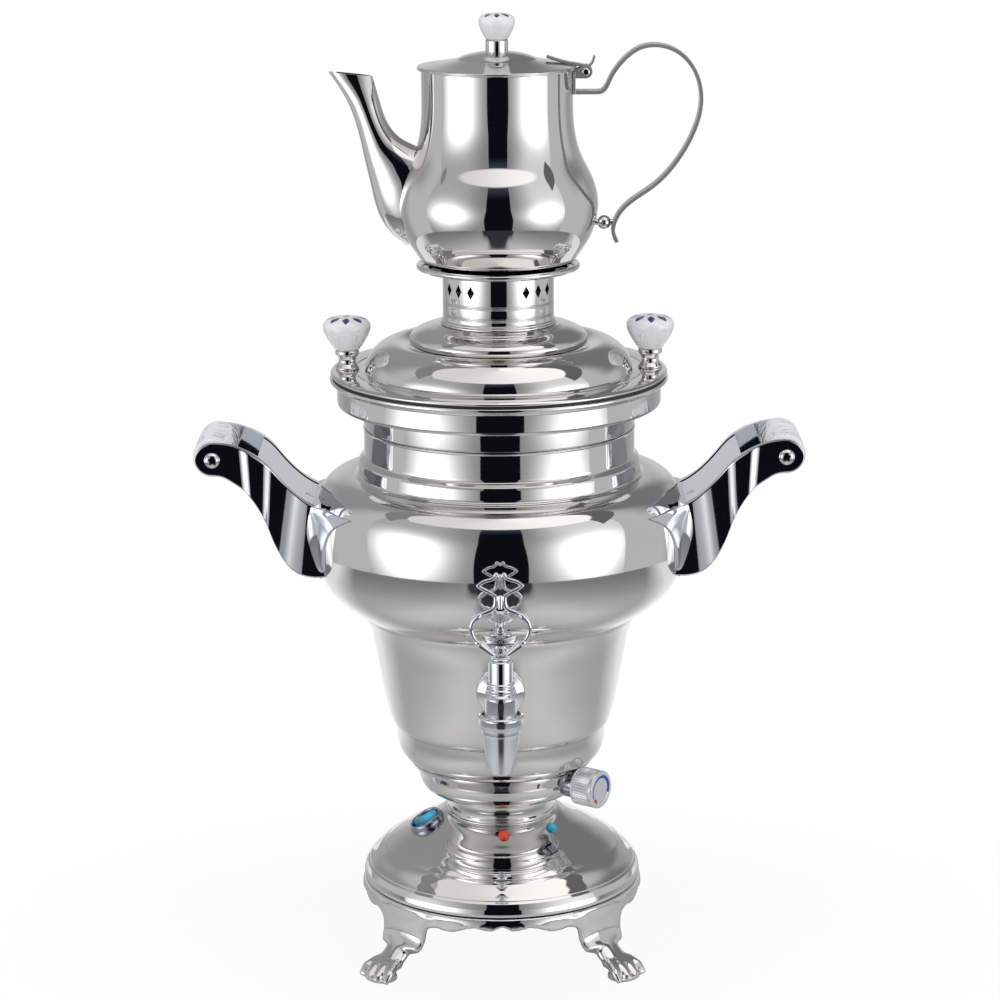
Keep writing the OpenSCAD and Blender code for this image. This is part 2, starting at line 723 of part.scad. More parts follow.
module lamp(a) {
    on_dome(lamp_at, a) {
        spun_solid([[lamp_r, 0.15], [lamp_r, 1], [lamp_r * 0.8, 1.9], [lamp_r * 0.45, 2.4], [0.2, 2.5]]);
        translate([0, 0, -10]) cylinder(r = lamp_stem_r, h = 11);
    }
}
module red_lamp() {
    color("red") lamp(lamp_angles[0]);
}
module blue_lamp() {
    color("deepskyblue") lamp(lamp_angles[1]);
}
module lamp_nuts() {
    color("white") for (a = lamp_angles) on_dome(lamp_at, a) translate([0, 0, -5]) difference() {
        cylinder(r = lamp_stem_r + 2.2, h = 3, $fn = 6);
        translate([0, 0, -1]) cylinder(r = lamp_stem_r + fix_gap / 2, h = 5);
    }
}

// ---------------------------------------------------------------- side handles

grip_half = grip_len / 2;
arm_half = grip_half + move_gap + arm_t;
web_start = 0.56;

arm_top = placed(belly_r, grip_x, z_belly, z_grip,
    [[-0.3, 0.33], [-0.1, 0.4], [0.0, 0.45], [0.174, 0.588], [0.339, 0.788], [0.471, 0.962],
    [0.636, 1.09], [0.82, 1.175], [1, 1.19]]);
arm_low = placed(belly_r, grip_x, z_belly, z_grip,
    [[1, 0.81], [0.9, 0.79], [0.8, 0.72], [0.686, 0.627], [0.587, 0.492], [0.478, 0.25],
    [0.402, 0], [0.311, -0.212], [0.207, -0.352], [0.083, -0.423], [-0.1, -0.43], [-0.3, -0.43]]);

module arm_outline() {
    polygon(concat(smooth(arm_top, 2), smooth(arm_low, 2)));
    translate([grip_x, z_grip]) circle(r = arm_end_r);
}

// Upper web between the arms, as far as the finger gap
module web_outline() {
    top = [for (q = smooth(arm_top, 2)) if (q[0] < belly_r + (grip_x - belly_r) * web_start) q];
    polygon(sheet(top, -web_t));
}

// Root pad outline in the YZ plane: flat and wide at the top, narrow below
root_top = 22.7;
root_half = [[-root_w, root_top], [-root_w * 0.86, 17], [-root_w * 0.72, 9], [-root_w * 0.65, 2],
    [-root_w * 0.575, -6.5], [-arm_half * 1.02, -18], [-arm_half * 0.9, -23]];
root_edge = smooth(concat(root_half, [for (q = reversed(root_half)) [-q[0], q[1]]]), 2);

// The pad's outer face is the belly's form drawn in and moved out, so it thins away to both sides
root_rim_t = 1.2;
root_r = radius_at(belly_path, z_belly + root_top);
thick_r = root_r + root_t;
thick_cos = cos(asin(arm_half / root_r));
thin_r = root_r + root_rim_t;
thin_cos = cos(asin(root_w / root_r));
root_out = (thick_r ^ 2 - thin_r ^ 2) / (2 * (thick_r * thick_cos - thin_r * thin_cos));
root_in = root_r - sqrt(thick_r ^ 2 + root_out ^ 2 - 2 * thick_r * root_out * thick_cos);
module root_pad() {
    intersection() {
        translate([root_out, 0, 0]) spun_solid([for (q = belly_path) [q[0] - root_in, q[1]]]);
        translate([belly_r - 60, 0, z_belly]) rotate([90, 0, 90]) linear_extrude(height = 90) polygon(root_edge);
    }
}

module pyramid(w, h) {
    cylinder(r1 = w, r2 = 0.3, h = h, $fn = 4);
}

// One cast handle for the right hand side
module handle() {
    difference() {
        union() {
            rotate([90, 0, 0]) linear_extrude(height = 2 * arm_half, center = true) web_outline();
            for (side = [-1, 1]) translate([0, side * (arm_half - arm_t / 2), 0]) rotate([90, 0, 0])
                linear_extrude(height = arm_t, center = true) arm_outline();
            root_pad();
            translate([belly_r - 6.5, -arm_half - 2, z_belly + root_top - 1]) rotate([20, 10, 0]) pyramid(6, 7.5);
            translate([belly_r + 3, -6, z_belly + root_top - 1]) rotate([10, 10, 0]) pyramid(4.5, 6.5);
        }
        spun_solid(belly_path);
        translate([grip_x, 0, z_grip]) rotate([90, 0, 0])
            cylinder(r = bolt_r + fix_gap, h = 4 * arm_half, center = true);
        for (y = [-bolt_y, bolt_y]) translate([0, y, z_belly]) rotate([0, 90, 0])
            cylinder(r = bolt_r + fix_gap, h = belly_r + root_t - stud_grip + fix_gap);
    }
}
module handle_left() {
    color("lightsteelblue") mirror([1, 0, 0]) handle();
}
module handle_right() {
    color("lightsteelblue") handle();
}

// Porcelain grip between the arms, along Y
grip_rod_r = 3;
module grip() {
    half = [[grip_r * 0.86, 0], [grip_r, 1.6], [grip_r, 6], [grip_r * 0.93, 7], [grip_r, 8],
        [grip_r * 1.02, grip_half - 10], [grip_r * 0.94, grip_half - 9], [grip_r * 0.94, grip_half - 8],
        [grip_r * 1.02, grip_half - 7]];
    mirrored = [for (q = reversed(half)) [q[0], 2 * grip_half - q[1]]];
    difference() {
        translate([0, -grip_half, 0]) rotate([-90, 0, 0]) spun_solid(concat(half, mirrored));
        rotate([90, 0, 0]) cylinder(r = grip_rod_r + fix_gap, h = 2 * grip_len, center = true);
    }
}
module grip_left() {
    color("white") translate([-grip_x, 0, z_grip]) grip();
}
module grip_right() {
    color("white") translate([grip_x, 0, z_grip]) grip();
}
module grip_rods() {
    color("gray") for (x = [-grip_x, grip_x]) translate([x, 0, z_grip]) rotate([90, 0, 0])
        difference() {
            cylinder(r = grip_rod_r, h = 2 * (grip_half + move_gap), center = true);
            cylinder(r = bolt_r - 0.5, h = 4 * grip_len, center = true);
        }
}
screw_head_r = 4.8;
module handle_screws() {
    color("silver") for (x = [-grip_x, grip_x], side = [-1, 1]) translate([x, side * arm_half, z_grip])
        rotate([-90 * side, 0, 0]) {
            spun_solid([[screw_head_r, 0], [screw_head_r, 0.8], [screw_head_r * 0.85, 2], [screw_head_r * 0.5, 2.8]]);
            translate([0, 0, -arm_t - 12]) cylinder(r = bolt_r - 0.5 - fix_gap / 2, h = arm_t + 12 + tiny);
        }
}
// Studs through the tank wall into the root pads, with round nuts inside the tank
stud_in = 14;
stud_grip = 2;
stud_nut_in = 10;
stud_nut_r = 6;
module handle_bolts() {
    color("gray") handle_bolt_axes() translate([0, 0, belly_r - stud_in])
        cylinder(r = bolt_r, h = stud_in + root_t - stud_grip);
}
module handle_nuts() {
    color("gray") intersection() {
        handle_bolt_axes() translate([0, 0, belly_r - stud_nut_in]) difference() {
            cylinder(r = stud_nut_r, h = stud_nut_in + root_t);
            translate([0, 0, -1]) cylinder(r = bolt_r + fix_gap / 2, h = stud_nut_in + root_t + 2);
        }
        spun_solid(shifted(belly_path, sheet_t));
    }
}

// ---------------------------------------------------------------- tap

bore_r = plug_r + run_gap;
z_valve = z_tap + 3;
z_barrel = z_valve + valve_h;
water_r = 3.2;
outlet_r = plug_r - 1;
wall_r = radius_at(vase_path, z_tap);
seal_back = wall_r - 6;
tap_nut_h = 5;
module at_tap() {
    translate([0, -tap_y, 0]) children();
}
module tap_body() {
    barrel_r = plug_r + 2.1;
    color("lightsteelblue") difference() {
        union() {
            at_tap() spun_solid([[valve_r - 0.6, z_valve - 5], [valve_r, z_valve - 4], [valve_r, z_valve + 11],
                [valve_r - 1, z_valve + 13], [barrel_r + 0.3, z_valve + 14], [barrel_r + 0.9, z_valve + 15],
                [barrel_r + 0.9, z_valve + 16.4], [barrel_r - 0.2, z_valve + 17.4],
                [barrel_r + 0.7, z_valve + 18.6], [barrel_r + 0.7, z_valve + 19.6],
                [barrel_r, z_valve + 20.6], [barrel_r, z_barrel - 1], [barrel_r - 0.7, z_barrel]]);
            outward(-90, seal_back - tap_nut_h - 2, z_tap) cylinder(r = shank_r, h = tap_y - seal_back + tap_nut_h + 2);
        }
        at_tap() translate([0, 0, z_tap - shank_r - 1]) cylinder(r = bore_r, h = shank_r + valve_h + 10);
        outward(-90, seal_back - tap_nut_h - 3, z_tap) cylinder(r = water_r, h = tap_y - seal_back + tap_nut_h + 3);
    }
}
module tap_flange() {
    color("lightsteelblue") difference() {
        outward(-90, wall_r - 6, z_tap)
            spun_solid([[15, 0], [15, 8.4], [14, 10.6], [9.5, 12.6], [8.6, 16], [8.6, 19]]);
        spun_solid(vase_path);
        outward(-90, wall_r - 8, z_tap) cylinder(r = shank_r + fix_gap, h = 60);
    }
}
// Sealing washer between the tank wall and the nut
module tap_seals() {
    color("dimgray") intersection() {
        outward(-90, seal_back, z_tap) difference() {
            cylinder(r = 11, h = 20);
            translate([0, 0, -1]) cylinder(r = shank_r + fix_gap, h = 30);
        }
        spun_solid(shifted(vase_path, sheet_t));
    }
}
module tap_nut() {
    color("goldenrod") outward(-90, seal_back - tap_nut_h, z_tap) difference() {
        cylinder(r = 11, h = tap_nut_h, $fn = 6);
        translate([0, 0, -1]) cylinder(r = shank_r + fix_gap / 2, h = tap_nut_h + 2);
    }
}
// Nozzle; the tap's shank drops into a slot at the back of its collar
module tap_nozzle() {
    z_top = z_valve + 1;
    z_end = z_top - nozzle_h;
    color("lightsteelblue") at_tap() difference() {
        spun_solid([[nozzle_end_r - 0.6, z_end], [nozzle_end_r, z_end + 0.8],
            [nozzle_end_r + 2.4, z_end + nozzle_h * 0.24], [nozzle_end_r + 4.2, z_end + nozzle_h * 0.5],
            [nozzle_end_r + 5.2, z_end + nozzle_h * 0.7], [nozzle_top_r - 1.3, z_end + nozzle_h * 0.79],
            [nozzle_top_r, z_end + nozzle_h * 0.88], [nozzle_top_r, z_top - 1.6], [nozzle_top_r - 1.4, z_top]]);
        translate([0, 0, z_valve - 5]) cylinder(r = valve_r + fix_gap, h = 8);
        translate([0, 0, z_end - 1]) cylinder(r = outlet_r, h = nozzle_h);
        translate([0, 0, z_tap]) rotate([-90, 0, 0]) cylinder(r = shank_r + fix_gap, h = 40);
        translate([-shank_r - fix_gap, 0, z_tap]) cube([2 * (shank_r + fix_gap), 40, 40]);
    }
}
// Plug: water enters at its side and leaves at its hollow bottom
module tap_plug() {
    color("goldenrod") at_tap() difference() {
        translate([0, 0, z_valve - 4.5]) cylinder(r = plug_r, h = valve_h + 4.5 + move_gap);
        translate([0, 0, z_valve - 5]) cylinder(r = outlet_r + fix_gap / 2, h = 10);
        translate([0, 0, z_tap]) rotate([0, 90, 0]) cylinder(r = water_r, h = 20);
    }
}
// Key: a hub, two thick arms, an open loop and a diamond shaped eyelet, all in one plane
module tap_key() {
    z_hub = z_barrel + move_gap;
    z_neck = z_hub + key_h * 0.64;
    z_eye = z_hub + key_h * 0.8;
    loop = placed(0, key_w, z_hub, z_hub + key_h,
        [[0.81, 0.2], [0.965, 0.3], [1, 0.42], [0.82, 0.55], [0.5, 0.62], [0.235, 0.66], [0.14, 0.76]]);
    eyelet = placed(0, key_w, z_hub, z_hub + key_h,
        [[0.1, 0.75], [0.41, 0.8], [0.74, 0.865], [0.38, 0.93], [-0.035, 0.97]]);
    color("lightsteelblue") at_tap() {
        translate([0, 0, z_hub]) cylinder(r = plug_r + 1.2, h = key_t);
        for (side = [0, 1]) mirror([side, 0, 0]) {
            translate([key_w * 0.12, 0, z_hub + key_t * 0.84]) rotate([0, 52, 0])
                cylinder(r1 = key_t * 0.84, r2 = key_t * 1.63, h = key_w * 0.91);
            bar(smooth(loop, 2),
                [for (i = [0 : 12]) key_t * lookup(i, [[0, 0.84], [3, 1], [7, 1], [10, 0.7], [12, 0.8]])],
                [for (i = [0 : 12]) key_t], 8);
            bar(smooth(eyelet, 2), [for (i = [0 : 8]) key_t * 0.7], [for (i = [0 : 8]) key_t * 0.9], 8);
        }
        translate([0, 0, z_neck - key_h * 0.02]) cylinder(r = key_t * 1.37, h = z_eye - z_neck);
    }
}

// ---------------------------------------------------------------- lid

skirt_drop = 8;
lid_screw_r = 1.5;
module lid_shell() {
    color("silver") difference() {
        union() {
            spun(lid_path);
            rotate_extrude() translate([rim_r - sheet_t - lift_gap - 0.8, z_lip + 1.4 - skirt_drop])
                square([0.8, skirt_drop + tiny]);
        }
        for (x = [-lid_knob_x, lid_knob_x]) translate([x, 0, z_lip]) cylinder(r = lid_screw_r + fix_gap, h = 6);
    }
}
module lid_crown() {
    color("silver") spun(crown_path);
}
z_ferrule = z_lip + 2.4;
z_knob = z_ferrule + ferrule_h;
ferrule_neck_r = ferrule_r * 0.72;
module lid_ferrules() {
    color("silver") for (x = [-lid_knob_x, lid_knob_x]) difference() {
        turned(concat([[ferrule_r, z_ferrule]],
            smooth(placed(ferrule_r, ferrule_neck_r, z_ferrule, z_knob,
                [[0, 0.1], [0.5, 0.2], [1, 0.42], [0.9, 0.6], [0.2, 0.72]]), 2),
            placed(ferrule_r, ferrule_neck_r, z_ferrule, z_knob, [[0, 0.79], [0, 0.935], [0.24, 1]])), x);
        translate([x, 0, z_ferrule - 1]) cylinder(r = lid_screw_r + fix_gap, h = ferrule_h + 2);
    }
}
module lid_knob(x) {
    difference() {
        turned(knob_path(knob_r, knob_h, ferrule_r * 0.89, z_knob), x);
        translate([x, 0, z_knob - 1]) cylinder(r = lid_screw_r + fix_gap, h = knob_h * 0.6 + 1);
    }
}
module lid_knob_left() {
    color("white") lid_knob(-lid_knob_x);
}
module lid_knob_right() {
    color("white") lid_knob(lid_knob_x);
}
// Screws from under the lid, up through the ferrules into the porcelain knobs
module lid_screws() {
    z_under = z_lip + 2.4 - sheet_t;
    color("gray") for (x = [-lid_knob_x, lid_knob_x]) translate([x, 0, z_under - 1.8]) {
        cylinder(r = 3, h = 1.8);
        cylinder(r = lid_screw_r, h = z_knob + knob_h * 0.5 - z_under + 1.8);
    }
}

// ---------------------------------------------------------------- steam stand

module steam_collar() {
    color("silver") difference() {
        spun(collar_path);
        for (group = [45, 135, 225, 315], k = [0 : diamonds - 1])
            rotate([0, 0, group + diamond_step * (k - (diamonds - 1) / 2)])
                translate([0, 0, z_collar + collar_h * 0.73]) rotate([90, 0, 90])
                    linear_extrude(height = collar_r + 5)
                        polygon([[-diamond_w / 2, 0], [0, -diamond_h / 2], [diamond_w / 2, 0], [0, diamond_h / 2]]);
    }
}
module teapot_tray() {
    color("silver") {
        spun(tray_path, sheet_t);
        rotate_extrude() translate([tray_r - 1.7, z_tray + 3.6]) circle(r = 1.7, $fn = 32);
    }
}

// ---------------------------------------------------------------- teapot

// Spout edges: the outer edge from the tip to the body, and the inner edge with it
spout_root = pot_r - 7;
spout_out = placed(spout_root, spout_reach, z_pot, z_mouth,
    [[1, 0.97], [0.78, 0.845], [0.636, 0.7], [0.55, 0.55], [0.48, 0.427], [0.4, 0.3], [0.25, 0.197], [0.02, 0.123]]);
spout_in = placed(spout_root, spout_reach, z_pot, z_mouth,
    [[0.44, 0.945], [0.36, 0.845], [0.24, 0.73], [0.08, 0.66], [-0.12, 0.62], [-0.3, 0.56], [-0.36, 0.45], [-0.4, 0.34]]);
spout_half = [4.5, 8, 9.5, 11.5, 14, 16, 16.5, 15];

// Elliptical rings between the two edges, drawn in by the inset
function spout_rings(inset) =
    let (outer = smooth(spout_out, 2), inner = smooth(spout_in, 2),
        wide = smooth([for (w = spout_half) [w, 0]], 2))
    [for (i = [0 : len(outer) - 1])
        let (mid = (outer[i] + inner[i]) / 2, arm = (outer[i] - inner[i]) / 2,
            size = norm(arm) - inset, dir = unit(arm))
        [for (k = [0 : 15]) let (w = 360 * k / 16)
            [-(mid[0] + dir[0] * size * cos(w)), (wide[i][0] - inset) * sin(w), mid[1] + dir[1] * size * cos(w)]]];

// The same rings with one more beyond each end, so that a bore runs right through
function run_through(rings) =
    let (last = len(rings) - 1)
    concat([2 * rings[0] - rings[1]], rings, [2 * rings[last] - rings[last - 1]]);

module teapot_spout() {
    color("silver") difference() {
        skin(spout_rings(0));
        skin(run_through(spout_rings(pot_t)));
        spun_solid(pot_path);
    }
}
strainer_r = 1.4;
module teapot_body() {
    color("silver") difference() {
        spun(pot_path, pot_t);
        for (row = [-1 : 1], k = [-1 : 1])
            outward(180 + k * 6, pot_mouth_r, z_pot + pot_h * (0.36 + 0.05 * row)) cylinder(r = strainer_r, h = 20);
    }
}

// Handle strap: out from the face of the bracket, over the top and down to the curl
bracket_t = 3.6;
strap_start = (bracket_t - 2) / (strap_reach - strap_t / 2 - pot_mouth_r);
strap_path = smooth(placed(pot_mouth_r, strap_reach - strap_t / 2, z_pot, z_mouth,
    [[strap_start, 0.888], [0.2, 0.888], [0.24, 0.895], [0.29, 0.955], [0.39, 1.045], [0.52, 1.105],
    [0.66, 1.117], [0.8, 1.09], [0.92, 1.02], [0.985, 0.93], [1, 0.83], [0.95, 0.7], [0.82, 0.55],
    [0.63, 0.42], [0.47, 0.35], [0.37, 0.29], [0.325, 0.235], [0.315, 0.19], [0.345, 0.135]]), 2);
module strap() {
    rotate([90, 0, 0]) linear_extrude(height = strap_w, center = true)
        polygon(concat(shifted(strap_path, strap_t / 2), reversed(shifted(strap_path, -strap_t / 2))));
}
module teapot_handle() {
    color("silver") strap();
}

ball_r = 4.3;
z_ball = z_pot + pot_h * 0.235;
strap_at_ball = pot_mouth_r + (strap_reach - strap_t / 2 - pot_mouth_r) * 0.325 - strap_t / 2;
module handle_ball() {
    pot_wall = radius_at(pot_path, z_ball);
    color("silver") difference() {
        union() {
            translate([(pot_wall + strap_at_ball) / 2, 0, z_ball]) sphere(ball_r, $fn = 48);
            translate([pot_wall - 2, 0, z_ball]) rotate([0, 90, 0]) cylinder(r = 1.8, h = strap_at_ball - pot_wall + 3);
        }
        spun_solid(pot_path);
        strap();
    }
}

hinge_x = pot_mouth_r + 7.6;
z_hinge = z_mouth - 1.2;
cheek_y = 5.4;
cheek_t = 1.2;
knuckle_r = 3;
module hinge_bracket() {
    low = z_pot + pot_h * 0.888 + strap_t / 2 - 2.4;
    color("silver") difference() {
        union() {
            translate([pot_mouth_r - 2, -7, low]) cube([bracket_t, 14, z_mouth - low - 0.6]);
            for (side = [-1, 1]) translate([0, side * (cheek_y - cheek_t / 2), 0]) rotate([90, 0, 0])
                linear_extrude(height = cheek_t, center = true) {
                    translate([pot_mouth_r - 1, z_hinge - 4]) square([hinge_x - pot_mouth_r + 1, 4.4]);
                    translate([hinge_x, z_hinge]) circle(r = 4, $fn = 48);
                }
        }
        spun_solid(pot_path);
        translate([hinge_x, 0, z_hinge]) rotate([90, 0, 0]) cylinder(r = pin_r, h = 40, center = true);
    }
}
module hinge_pin() {
    color("silver") translate([hinge_x, 0, z_hinge]) rotate([90, 0, 0]) {
        cylinder(r = pin_r, h = 2 * cheek_y + 0.4, center = true);
        for (side = [-1, 1]) translate([0, 0, side * (cheek_y + 0.5)]) cylinder(r = 2.4, h = 1, center = true);
    }
}
leaf_w = 2 * (cheek_y - cheek_t - move_gap);
leaf_t = 1.6;
// Hinge leaf on the teapot lid: knuckle, flat tongue on the lid and turned up thumb tab
module hinge_leaf() {
    tongue = [[hinge_x - 1, z_hinge + knuckle_r - leaf_t], [hinge_x - 5, z_hinge + 5],
        [pot_brim_r * 0.62, z_brim + 6.4]];
    tab = [[hinge_x, z_hinge + knuckle_r - leaf_t / 2], [hinge_x + 3, z_hinge + 4], [hinge_x + 5.4, z_hinge + 9.4]];
    color("silver") difference() {
        union() {
            translate([hinge_x, 0, z_hinge]) rotate([90, 0, 0]) cylinder(r = knuckle_r, h = leaf_w, center = true);
            rotate([90, 0, 0]) linear_extrude(height = leaf_w, center = true) {
                polygon(sheet(tongue, -leaf_t));
                polygon(sheet(tab, leaf_t));
            }
        }
        translate([hinge_x, 0, z_hinge]) rotate([90, 0, 0]) cylinder(r = pin_r + run_gap, h = 40, center = true);
        spun_solid(pot_lid_path);
    }
}
module teapot_lid() {
    color("silver") {
        spun(pot_lid_path, pot_t);
        rotate_extrude() translate([pot_mouth_r - pot_t - lift_gap - 0.7, z_mouth - 4.5])
            square([0.7, 7.2]);
    }
}
pot_ferrule_h = 7;
module teapot_ferrule() {
    color("silver") difference() {
        turned([[7.4, z_pot_top - 1.5], [7.4, z_pot_top + 1.6], [6.6, z_pot_top + 2.2], [6.6, z_pot_top + pot_ferrule_h - 0.6],
            [6, z_pot_top + pot_ferrule_h]]);
        spun_solid(pot_lid_path);
    }
}
module teapot_knob() {
    color("white") turned(knob_path(pot_knob_r, pot_knob_h, 6.4, z_pot_top + pot_ferrule_h));
}

// ---------------------------------------------------------------- all nodes

foot_ring();
base_plate();
base_dome();
neck_tube();
bowl_shell();
lower_band();
vase_shell();
belly_shell();
rim_band();
tank_floor();
tie_rod();
tie_nut();
heating_element();
heater_terminals();
thermostat_body();
thermostat_collar();
thermostat_shaft();
thermostat_knob();
switch_bezel();
switch_rocker();
red_lamp();
blue_lamp();
lamp_nuts();
cable_gland();
handle_left();
handle_right();
grip_left();
grip_right();
grip_rods();
handle_screws();
handle_bolts();
handle_nuts();
tap_body();
tap_flange();
tap_nut();
tap_seals();
tap_nozzle();
tap_plug();
tap_key();
lid_shell();
lid_crown();
lid_ferrules();
lid_knob_left();
lid_knob_right();
lid_screws();
steam_collar();
teapot_tray();
teapot_body();
teapot_spout();
teapot_handle();
handle_ball();
hinge_bracket();
hinge_pin();
teapot_lid();
hinge_leaf();
teapot_ferrule();
teapot_knob();
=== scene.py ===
"""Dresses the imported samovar: smooth spun shells, castings, porcelain, studio and camera.

Sizes are in millimetres until a mesh is made. The origin lies on the samovar's axis in the
plane of its feet, +Z is up and the tap points to -Y.
"""
import logging
import math
from collections.abc import Callable, Iterable, Iterator, Sequence
from contextlib import contextmanager
from dataclasses import dataclass, field
from enum import Enum

import bmesh
import bpy
from mathutils import Matrix, Vector


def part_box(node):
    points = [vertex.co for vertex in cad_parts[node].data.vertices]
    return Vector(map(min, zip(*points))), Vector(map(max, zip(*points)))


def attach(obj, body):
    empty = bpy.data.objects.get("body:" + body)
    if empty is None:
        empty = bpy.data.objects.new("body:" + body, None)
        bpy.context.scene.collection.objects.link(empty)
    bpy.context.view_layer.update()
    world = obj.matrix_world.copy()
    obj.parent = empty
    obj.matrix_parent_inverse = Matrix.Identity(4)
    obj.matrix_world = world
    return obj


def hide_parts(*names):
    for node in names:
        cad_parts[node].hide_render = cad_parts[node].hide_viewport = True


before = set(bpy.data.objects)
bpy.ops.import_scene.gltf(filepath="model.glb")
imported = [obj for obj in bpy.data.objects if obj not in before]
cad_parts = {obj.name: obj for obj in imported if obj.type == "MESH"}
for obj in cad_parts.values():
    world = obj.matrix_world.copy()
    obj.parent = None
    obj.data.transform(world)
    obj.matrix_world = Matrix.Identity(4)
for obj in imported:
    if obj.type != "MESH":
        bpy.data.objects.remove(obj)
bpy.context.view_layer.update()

MM = 0.001
UPRIGHT = Matrix.Identity(4)
X_AXIS, Y_AXIS, Z_AXIS = Vector((1, 0, 0)), Vector((0, 1, 0)), Vector((0, 0, 1))
CORNERS = (45, 135, 225, 315)
log = logging.getLogger("samovar")

Point = tuple[float, float]
Path = list[Point]
Colour = tuple[float, float, float]
Piece = bpy.types.Object


class Body(str, Enum):
    """The rigid bodies that the pieces ride on."""

    ROOT = "root"
    DIAL = "dial"
    ROCKER = "rocker"
    VALVE = "tap_valve"
    LID = "lid"
    STAND = "steam_stand"
    TEAPOT = "teapot"
    COVER = "teapot_cover"


class Side(float, Enum):
    """The two sides of the samovar, as seen from the tap."""

    LEFT = -1.0
    RIGHT = 1.0


# ------------------------------------------------------------------ measures from the frame


@dataclass(frozen=True)
class Span:
    """Height range and reach of a turned node.

    Attributes:
        low: Its lowest height.
        high: Its highest height.
        radius: Its largest distance from the axis along +X.
    """

    low: float
    high: float
    radius: float


def span(node: str) -> Span:
    """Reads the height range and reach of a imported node.

    Args:
        node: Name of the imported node.

    Returns:
        Its span in millimetres.
    """
    low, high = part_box(node)
    return Span(low[2] / MM, high[2] / MM, high[0] / MM)


def spanned(node: str) -> Span:
    """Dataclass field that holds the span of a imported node."""
    return field(default_factory=lambda: span(node))


def centre(node: str) -> Vector:
    """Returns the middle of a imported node's box in millimetres."""
    low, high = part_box(node)
    return (Vector(low) + Vector(high)) / (2 * MM)


# ------------------------------------------------------------------ curves


def placed(start: Point, end: Point, shares: Sequence[Point]) -> Path:
    """Places points given as shares of the way from start to end.

    Args:
        start: Radius and height where both shares are 0.
        end: Radius and height where both shares are 1.
        shares: Share of the radius and share of the height for each point.

    Returns:
        The points in millimetres.
    """
    (r0, z0), (r1, z1) = start, end
    return [(r0 + (r1 - r0) * a, z0 + (z1 - z0) * b) for a, b in shares]


def shifted(radius: float, height: float, offsets: Sequence[Point]) -> Path:
    """Places points given as offsets in millimetres from a radius and a height."""
    return [(radius + a, height + b) for a, b in offsets]


def arc(middle: Point, radius: float, degrees: Iterable[float]) -> Path:
    """Returns the points of an arc at these angles."""
    turns = [math.radians(d) for d in degrees]
    return [(middle[0] + radius * math.cos(a), middle[1] + radius * math.sin(a)) for a in turns]


def bends(values: Sequence[float], knots: Sequence[float]) -> list[float]:
    """Solves for the second derivatives of a natural cubic spline.

    Args:
        values: One coordinate of the points.
        knots: Place of each point along the curve.

    Returns:
        The second derivative at each point.
    """
    last = len(values) - 1
    diagonal = [1.0] * (last + 1)
    right = [0.0] * (last + 1)
    upper = [0.0] * (last + 1)
    for i in range(1, last):
        before, after = knots[i] - knots[i - 1], knots[i + 1] - knots[i]
        target = 6 * ((values[i + 1] - values[i]) / after - (values[i] - values[i - 1]) / before)
        diagonal[i] = 2 * (before + after) - before * upper[i - 1]
        upper[i] = after / diagonal[i]
        right[i] = (target - before * right[i - 1]) / diagonal[i]
    result = [0.0] * (last + 1)
    for i in range(last - 1, 0, -1):
        result[i] = right[i] - upper[i] * result[i + 1]
    return result


def flow(points: Sequence[Point], steps: int = 5) -> Path:
    """Runs an even-bending curve through the points.

    Args:
        points: Points the curve passes through.
        steps: Pieces between neighbouring points.

    Returns:
        The points of the curve.
    """
    knots = [0.0]
    for a, b in zip(points, points[1:]):
        knots.append(knots[-1] + math.dist(a, b))
    curves = [bends([p[k] for p in points], knots) for k in (0, 1)]
    path: Path = []
    for i in range(len(points) - 1):
        length = knots[i + 1] - knots[i]
        for step in range(steps):
            b = step / steps
            a = 1 - b
            path.append(tuple(
                a * points[i][k] + b * points[i + 1][k]
                + ((a ** 3 - a) * curves[k][i] + (b ** 3 - b) * curves[k][i + 1]) * length ** 2 / 6
                for k in (0, 1)))
    path.append(tuple(points[-1]))
    return path


def eased(path: Sequence[Point], radius: float = 0.5, steps: int = 4) -> Path:
    """Rounds the sharp corners of a path with small arcs.

    Args:
        path: Points with corners.
        radius: How far before and after a corner its arc may start.
        steps: Pieces in each arc.

    Returns:
        The path with rounded corners.
    """
    result: Path = [path[0]]
    for before, corner, after in zip(path, path[1:], path[2:]):
        back = Vector(before) - Vector(corner)
        ahead = Vector(after) - Vector(corner)
        reach = min(radius, back.length * 0.45, ahead.length * 0.45)
        if reach < 0.02 or back.angle(ahead) > math.radians(160):
            result.append(corner)
            continue
        start = Vector(corner) + back.normalized() * reach
        end = Vector(corner) + ahead.normalized() * reach
        for step in range(steps + 1):
            t = step / steps
            point = start * (1 - t) ** 2 + Vector(corner) * 2 * t * (1 - t) + end * t ** 2
            result.append((point.x, point.y))
    result.append(path[-1])
    return result


def across(path: Sequence[Point], at: float, key: int = 0) -> float:
    """Reads a path's other coordinate where its coordinate key first passes a value.

    Args:
        path: The path.
        at: Value of the known coordinate.
        key: Which coordinate is known, 0 or 1.

    Returns:
        The other coordinate there.
    """
    for a, b in zip(path, path[1:]):
        if min(a[key], b[key]) <= at <= max(a[key], b[key]) and a[key] != b[key]:
            t = (at - a[key]) / (b[key] - a[key])
            return a[1 - key] + t * (b[1 - key] - a[1 - key])
    return path[-1][1 - key]


def evenly(path: Sequence[Point], count: int) -> Path:
    """Returns count points at equal distances along a path."""
    marks = [0.0]
    for a, b in zip(path, path[1:]):
        marks.append(marks[-1] + math.dist(a, b))
    result: Path = []
    for i in range(count):
        target = marks[-1] * i / (count - 1)
        k = max(j for j in range(len(path) - 1) if marks[j] <= target + 1e-9)
        t = (target - marks[k]) / (marks[k + 1] - marks[k])
        result.append(tuple(path[k][c] + t * (path[k + 1][c] - path[k][c]) for c in (0, 1)))
    return result


# ------------------------------------------------------------------ the modelling bench


